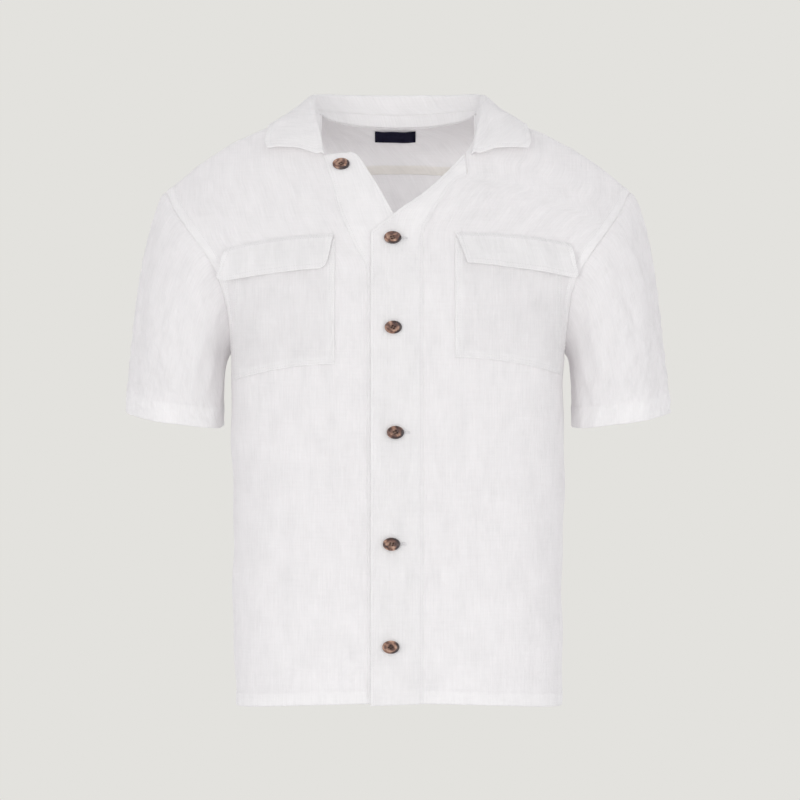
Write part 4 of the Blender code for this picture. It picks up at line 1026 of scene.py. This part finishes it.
def make_collar():
    """The collar and stand: smooth curves up from the neck seam, over the roll's arc and down the bowed leaf."""
    u, seam, roll, edge, share = collar_lines(COLLAR_CELLS[0])
    foot = seam + unit(roll - seam) * COLLAR_FOOT
    stand_top = foot + (roll - foot) * share
    out, up = unit((edge - roll) * (1, 1, 0)), np.array((0.0, 0.0, 1.0))
    fall = unit(edge - roll)
    radius = np.minimum(ROLL_RADIUS, np.linalg.norm(roll - stand_top, axis=1) * ROLL_LIMIT)[:, None]
    rows = [stand_top, (stand_top + roll * 2) / 3, roll - out * radius / 2, roll + (out + up) * radius * 0.7,
            roll + out * radius + (out + fall) * radius]
    rows += [roll + (edge - roll) * across + up * bow for across, bow in LEAF_BOW]
    points = through(rows + [edge], COLLAR_CELLS[1], 0.45)
    normals = grid_normals(points)
    far = arc_lengths(points)
    edge_far = np.minimum(far["top"], np.minimum(far["first"], far["last"]))
    relief = stitched(edge_far, COLLAR_ROW) + 0.0003 * np.exp(-((edge_far - 0.0012) / 0.0014) ** 2)
    relief += puckers(far["first"], far["top"], 101, 0.00025, 0.008)
    relief += seamed(far["bottom"], 0.0004, 0.0015)
    along = far["first"][0]
    relief += ripples(np.broadcast_to(along, far["top"].shape), far["top"], 103, 9, 0.080, 0.020, 0.0006) \
        * ease(far["top"] / 0.01) * ease(far["bottom"] / 0.01)
    points = points + normals * relief[..., None]
    weave = np.stack([far["first"], far["bottom"]], -1)
    piece = shell("collar_cloth", points, normals, COLLAR_THICK, weave, 1.0, linen)
    cloth(piece)
    held = np.abs(u) < STAND_END + 0.02
    rise = np.linspace(0, 1, 25)[:, None, None]
    stand = foot[held] + (stand_top[held] - unit(roll - foot)[held] * 0.0006 - foot[held]) * rise
    stand_normals = grid_normals(stand)
    far = arc_lengths(stand)
    relief = seamed(np.minimum(far["top"], far["bottom"]), 0.0004, 0.0015)
    relief += puckers(far["first"], far["bottom"], 105, 0.0003, 0.006)
    stand = stand + stand_normals * relief[..., None]
    weave = np.stack([far["first"], far["bottom"]], -1)
    piece = shell("collar_stand_cloth", stand, stand_normals, COLLAR_THICK, weave, 1.0, linen)
    cloth(piece)
    return points, normals


collar = make_collar()

# ---- Label -----------------------------------------------------------------------------------------------------
# A small blank label of woven navy satin, lying on the inside of the yoke and stitched down along both ends.
LABEL_HALF_WIDTH = 0.0238
LABEL_MIDDLE = -0.0033
LABEL_TOP, LABEL_BOTTOM = 0.0040, -0.0082
NAVY = (0.0032, 0.0028, 0.0135)


def navy_material():
    """Satin weave: fine ribs across the label and a broad slow change of tone."""
    material, wire, output = new_material("label_navy")
    place = wire.node("ShaderNodeUVMap", {"uv_map": "weave"}, {})
    ribs = wire.node("ShaderNodeTexWave", {"bands_direction": "Y"}, {"Vector": place, "Scale": 620.0}, "Fac")
    cloudy = wire.node("ShaderNodeTexNoise", {"noise_dimensions": "2D"}, {"Vector": place, "Scale": 260.0})
    tone = wire.node("ShaderNodeValToRGB", {"stops": [(0.3, NAVY), (0.7, (0.0062, 0.0055, 0.0200))]}, {0: cloudy})
    bump = wire.node("ShaderNodeBump", {}, {"Strength": 0.4, "Distance": 0.0001, "Height": ribs + cloudy * 0.6})
    surface = wire.node("ShaderNodeBsdfPrincipled", {}, {
        "Base Color": tone, "Roughness": 0.70, "Specular IOR Level": 0.15, "Normal": bump})
    wire.tree.links.new(surface.socket, output.inputs["Surface"])
    return material


navy = navy_material()


def make_label():
    """The label: a patch of the back form moved inward, slightly slack between its two stitched ends."""
    x, z = np.meshgrid(np.linspace(-1, 1, 61) * LABEL_HALF_WIDTH + LABEL_MIDDLE,
                       np.linspace(LABEL_BOTTOM, LABEL_TOP, 21))
    place = locate(BACK_FORM, x, z)
    across = np.maximum(across_at(BACK_FORM, x, place), 2e-3)
    points, normals = form(BACK_FORM, 1.0, across, place), form_normal(BACK_FORM, 1.0, across, place)
    points[..., 0] = x
    normals[..., 0] *= np.where(x < 0, -1.0, 1.0)
    end_far = LABEL_HALF_WIDTH - np.abs(x - LABEL_MIDDLE)
    slack = 0.0008 * ease(end_far / 0.012) + 0.0002 * np.sin(x / 0.004)
    points = points + normals * (back_relief(x, z) - 0.0016 - slack)[..., None]
    weave = np.stack([x, z], -1)
    piece = shell("label_cloth", points, normals, 0.0006, weave, 1.0, navy)
    attach(piece, "label")
    return points, normals


label = make_label()

# ---- Stitches --------------------------------------------------------------------------------------------------
# Rows of lockstitch in white cotton: along hems, cuffs, bands, flaps, pockets and the collar, and beside the
# armholes and the yoke seam. Every stitch is a small thread capsule that sinks into the cloth at both ends.
STITCH_PITCH = 0.0029
STITCH_HALF = 0.00118
THREAD_RADIUS = 0.00021


def thread_material(name, colour):
    """Twisted cotton: oblique ribs of painted shade along the thread, between the turns of its twist."""
    material, wire, output = new_material(name)
    place = wire.node("ShaderNodeTexCoord", {}, {}, 3)
    twist = wire.node("ShaderNodeTexWave", {"bands_direction": "DIAGONAL"},
                      {"Vector": place, "Scale": 900.0, "Distortion": 1.0})
    # painted shade: the darker end of the ramp lies in the grooves of the twist
    shaded = tuple(0.84 * part for part in colour)
    tone = wire.node("ShaderNodeValToRGB", {"stops": [(0.0, shaded), (1.0, colour)]}, {0: twist})
    surface = wire.node("ShaderNodeBsdfPrincipled", {}, {
        "Base Color": tone, "Roughness": 0.7, "Specular IOR Level": 0.25})
    wire.tree.links.new(surface.socket, output.inputs["Surface"])
    return material


cotton = thread_material("thread_white", (0.87, 0.86, 0.865))


def level_line(points, normals, distance, level):
    """The line on a grid at which a distance that grows up its columns reaches a level, by linear steps."""
    column = np.arange(points.shape[1])
    row = np.clip(np.argmax(distance >= level, axis=0), 1, len(points) - 1)
    low, high = distance[row - 1, column], distance[row, column]
    t = np.clip((level - low) / (high - low), 0, 1)[:, None]
    return (points[row - 1, column] * (1 - t) + points[row, column] * t,
            unit(normals[row - 1, column] * (1 - t) + normals[row, column] * t))


def border_line(grid, far, border, level, keep=()):
    """A line beside one border of a grid; keep names borders that it stays at least as far from."""
    points, normals = grid
    turned = {"bottom": lambda a: a, "top": lambda a: a[::-1],
              "first": lambda a: np.swapaxes(a, 0, 1), "last": lambda a: np.swapaxes(a, 0, 1)[::-1]}[border]
    line, facing = level_line(turned(points), turned(normals), turned(far[border]), level)
    inside = np.ones(len(line), bool)
    for other in keep:
        near, _ = level_line(turned(np.repeat(far[other][..., None], 3, -1)), turned(normals),
                             turned(far[border]), level)
        inside &= near[:, 0] >= level
    return line[inside], facing[inside]


def edge_row(grid, far, level):
    """One row of stitches round all borders of a grid but the bottom, joined at the corners."""
    borders = ("first", "top", "last")
    lines = [border_line(grid, far, border, level, [b for b in borders if b != border]) for border in borders]
    lines[-1] = (lines[-1][0][::-1], lines[-1][1][::-1])
    return np.concatenate([line for line, _ in lines]), np.concatenate([facing for _, facing in lines])


def stitch_row(lines, lift, pitch=STITCH_PITCH, half=STITCH_HALF, radius=THREAD_RADIUS, across=False):
    """Corners and triangles of capsules along lines: rings of five at four stations, the ends drawn to a point.

    A station at s has radius sqrt(1 - s^4) and sinks by s^4 of a radius, so that the ends go into the cloth.
    """
    stations = np.array([-1.0, -0.6, 0.6, 1.0])
    spin = np.linspace(0, 2 * np.pi, 5, endpoint=False)
    girth = np.sqrt(1 - stations**4)
    girth[[0, -1]] = 0.12
    template = np.stack(np.broadcast_arrays(stations[:, None] * half, girth[:, None] * radius * np.cos(spin),
                                            girth[:, None] * radius * 0.8 * np.sin(spin)
                                            - stations[:, None]**4 * radius), -1)
    cells = grid_faces(4, 5, ring=True)
    caps = np.array([[0, 4, 3], [0, 3, 2], [0, 2, 1], [15, 16, 17], [15, 17, 18], [15, 18, 19]])
    triangles = np.concatenate([cells[:, [0, 1, 2]], cells[:, [0, 2, 3]], caps])
    corners, faces, count = [], [], 0
    for line, facing in lines:
        lengths = lengths_up(line)
        number = max(int(lengths[-1] / pitch), 1)
        middles = (np.arange(number) + 0.5) * lengths[-1] / number

        def at(distance, values):
            return np.stack([np.interp(distance, lengths, values[:, k]) for k in range(3)], -1)

        centre, up = at(middles, line), unit(at(middles, facing))
        run = unit(at(middles + half, line) - at(middles - half, line) + 1e-12)
        up = unit(up - run * np.einsum("ij,ij->i", up, run)[:, None])
        side = np.cross(up, run)
        if across:
            run, side = side, -run
        placed = (centre[:, None, None] + template[..., 0, None] * run[:, None, None]
                  + template[..., 1, None] * side[:, None, None]
                  + (template[..., 2, None] + lift) * up[:, None, None])
        corners.append(placed.reshape(-1, 3))
        offsets = count + np.arange(number)[:, None, None] * len(spin) * len(stations)
        faces.append((triangles + offsets).reshape(-1, 3))
        count += number * len(spin) * len(stations)
    return np.concatenate(corners), np.concatenate(faces)


def sew(name, lines, lift, material=cotton, slot="linen_white", **sizes):
    """A piece of stitches along lines, riding with the cloth."""
    corners, faces = stitch_row(lines, lift, **sizes)
    attach(new_mesh(name, corners, faces, material))


HALF_CLOTH = 0.0004
hems = [border_line(grid[:2], grid[2], "bottom", HEM_TURN) for grid in (front_left, front_right, back)]
sew("hem_stitches", hems, HALF_CLOTH + 0.0002)

armhole_rows = []
for (points, normals, far, places), borders in ((front_left, ("last",)), (front_right, ("last",)),
                                                (back, ("first", "last")), (yoke, ("first", "last"))):
    rows = places[:, 0] > UNDERARM + 0.05
    for border in borders:
        distance = {border: slanted(points, far[border], border)[rows]}
        armhole_rows.append(border_line((points[rows], normals[rows]), distance, border, ARMHOLE_ROW))
armhole_rows.append(border_line(yoke[:2], yoke[2], "bottom", YOKE_ROW))
sew("armhole_and_yoke_stitches", armhole_rows, HALF_CLOTH + 0.0001)

cuff_rows = []
for points, normals, down in (sleeve_left, sleeve_right):
    ring = {"top": (down[-1:] - down)}
    line, facing = border_line((points, normals), ring, "top", CUFF_TURN)
    cuff_rows.append((np.vstack([line, line[:1]]), np.vstack([facing, facing[:1]])))
sew("cuff_stitches", cuff_rows, HALF_CLOTH + 0.0002)

pocket_rows = [edge_row(pocket[:2], pocket[2], row) for pocket in (pocket_left, pocket_right)
               for row in POCKET_ROWS]
sew("pocket_stitches", pocket_rows, HALF_CLOTH)

flap_rows = []
for flap in (flap_left, flap_right):
    far = arc_lengths(flap[0])
    for row in FLAP_ROWS:
        flap_rows += [edge_row(flap, far, row), border_line(flap, far, "bottom", row)]
sew("flap_stitches", flap_rows, BAND_THICK / 2)

band_rows = []
for points, normals, seam_far, edge_far in (band, placket):
    band_rows += [border_line((points, normals), {"first": seam_far}, "first", BAND_ROW),
                  border_line((points, normals), {"last": edge_far}, "last", BAND_ROW)]
sew("band_stitches", band_rows, BAND_THICK / 2)

sew("collar_stitches", [edge_row(collar, arc_lengths(collar[0]), COLLAR_ROW)], COLLAR_THICK / 2)

label_ends = [border_line(label, arc_lengths(label[0]), border, 0.0012) for border in ("first", "last")]
sew("label_stitches", label_ends, -0.0004, thread_material("thread_navy", (0.011, 0.010, 0.026)), "label_navy",
    pitch=0.0016, half=0.0006, radius=0.00012)

# ---- Buttons and button holes ----------------------------------------------------------------------------------
# Six turned buttons of brown horn with four holes and a dished face, sewn to the button band, each through a
# button hole with a worked edge in the placket. The one at the neck is open. They turn on their own thread.
BUTTON_RADIUS = 0.0098          # half its width
BUTTON_OVAL = 0.76              # share of its width that it is high
BUTTON_HEIGHT = 0.0034
BUTTON_PLACES = {                      # x and z seen from the front, and turn about its own axis, degrees
    "button_neck": (-0.0650, -0.0434, 40),
    "button_1": (-0.0060, -0.1300, 15),
    "button_2": (-0.0053, -0.2311, 65),
    "button_3": (-0.0029, -0.3496, 30),
    "button_4": (-0.0073, -0.4757, 80),
    "button_5": (-0.0081, -0.5922, 50),
}
DISH_DEPTH = 0.0013
HOLE_RADIUS = 0.0011
HOLE_DEPTH = 0.0018
HOLE_RING = 0.0023              # from the middle of the face to a hole's
SLOT_HALF_WIDTH = 0.0115        # of a button hole's worked edge
SLOT_HALF_HEIGHT = 0.0011
SLOT_OFF = 0.0052               # toward +X from the button's middle
SLOT_SQUARING = 0.35
HORN_STOPS = [(0.30, (0.045, 0.019, 0.015)), (0.42, (0.150, 0.068, 0.048)), (0.53, (0.300, 0.162, 0.108)),
              (0.70, (0.560, 0.360, 0.265))]
# painted shade: the dark crescent along one side of the rim
HORN_PAINTED_SHADE = (0.014, 0.007, 0.010)
HORN_MIDDLE = (0.060, 0.026, 0.018)
SHADED_RIM_SIDE = (0.34, -0.94, 0.0)        # side of the rim that takes the painted shade, in the face's own coordinates


def horn_material():
    """Horn: a distorted wave and a noise give streaks of dark, brown and tan; fine scratches vary the gloss.

    From the face's own coordinates a crescent of painted shade lies along one side of the rim, and the middle is
    darker.
    """
    material, wire, output = new_material("horn_brown")
    place = wire.node("ShaderNodeTexCoord", {}, {}, 3)
    cloudy = wire.node("ShaderNodeTexNoise", {}, {
        "Vector": place, "Scale": 120.0, "Detail": 4.0, "Distortion": 1.2})
    streaks = wire.node("ShaderNodeTexWave", {"bands_direction": "DIAGONAL"}, {
        "Vector": place, "Scale": 42.0, "Distortion": 7.0, "Detail": 2.0, "Detail Scale": 1.6}, "Fac")
    tone = wire.node("ShaderNodeValToRGB", {"stops": HORN_STOPS}, {0: cloudy * 0.75 + streaks * 0.25})
    face = wire.node("ShaderNodeUVMap", {"uv_map": "face"}, {})
    reach = wire.node("ShaderNodeVectorMath", {"operation": "LENGTH"}, {0: face}, 1)
    aside = wire.node("ShaderNodeVectorMath", {"operation": "DOT_PRODUCT"}, {0: face, 1: SHADED_RIM_SIDE}, 1)
    rim, shaded_rim_side, middle = (
        wire.node("ShaderNodeMapRange", {"interpolation_type": "SMOOTHSTEP"}, {0: value, 1: low, 2: high})
        for value, low, high in ((reach, 0.62, 0.80), (aside, 0.05, 0.50), (reach, 0.56, 0.20)))
    # painted shade: a dark crescent along one side of the rim, where the rim turns from the light
    tone = wire.mix(rim * shaded_rim_side * 0.92, tone, (*HORN_PAINTED_SHADE, 1))
    tone = wire.mix(middle * 0.74, tone, (*HORN_MIDDLE, 1))
    fine = wire.node("ShaderNodeTexNoise", {}, {"Vector": place, "Scale": 900.0, "Detail": 2.0})
    bump = wire.node("ShaderNodeBump", {}, {"Strength": 0.15, "Distance": 0.0002, "Height": fine})
    surface = wire.node("ShaderNodeBsdfPrincipled", {}, {
        "Base Color": tone, "Roughness": fine * 0.20 + 0.24, "Coat Weight": 0.45, "Coat Roughness": 0.16,
        "Normal": bump})
    wire.tree.links.new(surface.socket, output.inputs["Surface"])
    return material


horn = horn_material()
horn_thread = thread_material("thread_brown", (0.085, 0.045, 0.030))


def button_surface():
    """A turned disc on a grid of rings: a profile from the middle of the back round the rim to the face's middle.

    The face drops by a smooth step inside the rim, and four pits go in where the distance to a hole is short.
    """
    reach = np.concatenate([np.linspace(0.002, 0.78, 5), 0.80 + 0.2 * np.sin(np.linspace(0, np.pi / 2, 7))[1:]])
    base = np.concatenate([np.zeros(5), 0.5 - 0.5 * np.cos(np.linspace(0, np.pi / 2, 7))[1:]]) * 0.0016
    over = np.pi / 2 * np.linspace(0, 1, 9)[1:]
    rim_x, rim_z = 0.90 + 0.10 * np.cos(over), 0.0022 + 0.0012 * np.sin(over)
    face = np.concatenate([np.linspace(0.88, 0.40, 12)[:-1], np.linspace(0.40, 0.002, 22)])
    dish = BUTTON_HEIGHT - DISH_DEPTH * ease((0.86 - face) / 0.24)
    radius = np.concatenate([reach, rim_x, face]) * BUTTON_RADIUS
    height = np.concatenate([base, rim_z, dish])
    turn = np.linspace(0, 2 * np.pi, 72, endpoint=False)
    x, y = radius[:, None] * np.cos(turn), radius[:, None] * np.sin(turn)
    z = np.broadcast_to(height[:, None], x.shape).copy()
    hole = np.minimum.reduce([np.hypot(x - HOLE_RING * np.cos(a), y - HOLE_RING * np.sin(a))
                              for a in np.radians((45, 135, 225, 315))])
    front_face = np.arange(len(radius))[:, None] >= len(reach) + len(rim_x)
    z = np.where(front_face, z - HOLE_DEPTH * ease((HOLE_RADIUS + 0.0001 - hole) / 0.00035), z)
    return np.stack([x, y, z], -1)


button_grid = button_surface()
button_faces = grid_faces(*button_grid.shape[:2], ring=True)
thread_stitches, hole_lines = [], []
for name, (x, z, turn) in BUTTON_PLACES.items():
    on_lap = 0.0 if name == "button_neck" else PLACKET_LIFT
    point, normal = on_front(np.array([x]), np.array([z]), np.array([on_lap + BAND_THICK / 2 + 0.0003]))
    axis = normal[0]
    right = unit(np.cross((0.0, 0.0, 1.0), axis))
    upward = np.cross(axis, right) * BUTTON_OVAL
    sine, cosine = np.sin(np.radians(turn)), np.cos(np.radians(turn))
    first, second = right * cosine + upward * sine, upward * cosine - right * sine
    placed = point[0] + button_grid @ np.array([first, second, axis])
    piece = new_mesh(name + "_horn", placed.reshape(-1, 3), button_faces, horn)
    face = piece.data.uv_layers.new(name="face").data
    corners = np.empty(len(piece.data.loops), np.int32)
    piece.data.loops.foreach_get("vertex_index", corners)
    face.foreach_set("uv", (button_grid.reshape(-1, 3)[corners, :2] / BUTTON_RADIUS).ravel())
    attach(piece, name)
    for offset in (-1, 1):
        ends = np.array([(-HOLE_RING, 0.0), (HOLE_RING, 0.0)]) * 0.75 + (0.0, offset * HOLE_RING * 0.71)
        for shift in (-0.0002, 0.0002):
            line = point[0] + (ends[:, :1] * first + (ends[:, 1:] + shift) * second
                               + (BUTTON_HEIGHT - 0.0012) * axis)
            thread_stitches.append((line, np.stack([axis, axis])))
    if name == "button_neck":
        continue
    spin = np.linspace(0, 2 * np.pi, 81)
    hole_x = x + SLOT_OFF + np.sign(np.cos(spin)) * np.abs(np.cos(spin)) ** SLOT_SQUARING * SLOT_HALF_WIDTH
    hole_lines.append(on_front(hole_x, z + np.sin(spin) * SLOT_HALF_HEIGHT, np.full(81, PLACKET_LIFT)))
sew("button_threads", thread_stitches, 0.0002, horn_thread, "horn_brown", pitch=0.006, half=0.0017,
    radius=0.00022)
sew("button_hole_stitches", hole_lines, BAND_THICK / 2 + 0.0001, pitch=0.00045, half=0.0010, radius=0.00024,
    across=True)

# ---- Studio ----------------------------------------------------------------------------------------------------
# A pale seamless backdrop with its own even glow, far enough off to stay plain behind every view, and a pale even
# sky. Three large soft lamps stand at the front on either side and behind. The camera looks from the front.
BACKDROP = (0.768, 0.760, 0.730)
BOWL = np.array([(0.001, -1.60), (4.5, -1.60), (5.5, -1.58), (6.4, -1.45), (7.0, -1.10), (7.3, -0.5),
                 (7.4, 0.5), (7.4, 7.0)])      # radius and height, from its middle to its rim
BOWL_CELLS = 128               # round it
SKY = (0.988, 0.985, 1.0, 1.0)
SKY_STRENGTH = 0.785
LAMP_CREAM = (1.0, 0.998, 0.975)
LAMP_SIZE = 3.0
LAMP_AIM = (0.0, 0.0, -0.30)
CAMERA_PLACE = (0.0023, -5.0, -0.313)
SENSOR_WIDTH = 36.0
VIEW_WIDTH = 0.928             # what the picture spans at the origin's depth
LIGHT_BOUNCES = 10             # white cloth throws light back and forth in its own folds

profile = curve_through(BOWL, 10)
turn = np.linspace(0, 2 * np.pi, BOWL_CELLS, endpoint=False)
bowl = np.stack([profile[:, :1] * np.cos(turn), profile[:, :1] * np.sin(turn),
                 np.broadcast_to(profile[:, 1:], (len(profile), BOWL_CELLS))], -1)
backdrop_material, wire, output = new_material("studio_backdrop")
glow = wire.node("ShaderNodeEmission", {}, {"Color": (*BACKDROP, 1.0), "Strength": 1.0})
wire.tree.links.new(glow.socket, output.inputs["Surface"])
bowl_faces = grid_faces(len(profile), BOWL_CELLS, ring=True)
studio_floor = new_mesh("studio_floor", bowl.reshape(-1, 3), bowl_faces, backdrop_material)
for ray in ("visible_diffuse", "visible_glossy", "visible_transmission", "visible_shadow"):
    setattr(studio_floor, ray, False)

world = bpy.data.worlds.new("studio_world")
world.use_nodes = True
sky = world.node_tree.nodes["Background"]
sky.inputs[0].default_value = SKY
sky.inputs[1].default_value = SKY_STRENGTH
bpy.context.scene.world = world


def soft_lamp(name, place, power):
    """A square area lamp that faces the shirt; its turn is the one that takes -Z to that direction."""
    lamp = bpy.data.lights.new(name, "AREA")
    lamp.size = LAMP_SIZE
    lamp.energy = power
    lamp.color = LAMP_CREAM
    item = bpy.data.objects.new(name, lamp)
    item.location = place
    item.rotation_euler = Vector(np.subtract(LAMP_AIM, place)).to_track_quat("-Z", "Y").to_euler()
    bpy.context.scene.collection.objects.link(item)


soft_lamp("key_lamp", (-2.6, -5.2, 0.0), 76.0)
soft_lamp("fill_lamp", (3.7, -4.4, -0.2), 47.0)
soft_lamp("back_lamp", (0.6, 5.4, 0.2), 62.0)

camera = bpy.data.objects.new("camera", bpy.data.cameras.new("camera"))
camera.location = CAMERA_PLACE
camera.rotation_euler = (np.pi / 2, 0.0, 0.0)
camera.data.sensor_width = SENSOR_WIDTH
camera.data.lens = SENSOR_WIDTH * -CAMERA_PLACE[1] / VIEW_WIDTH
bpy.context.scene.collection.objects.link(camera)
bpy.context.scene.camera = camera
bpy.context.scene.view_settings.view_transform = "Standard"
bpy.context.scene.cycles.diffuse_bounces = LIGHT_BOUNCES
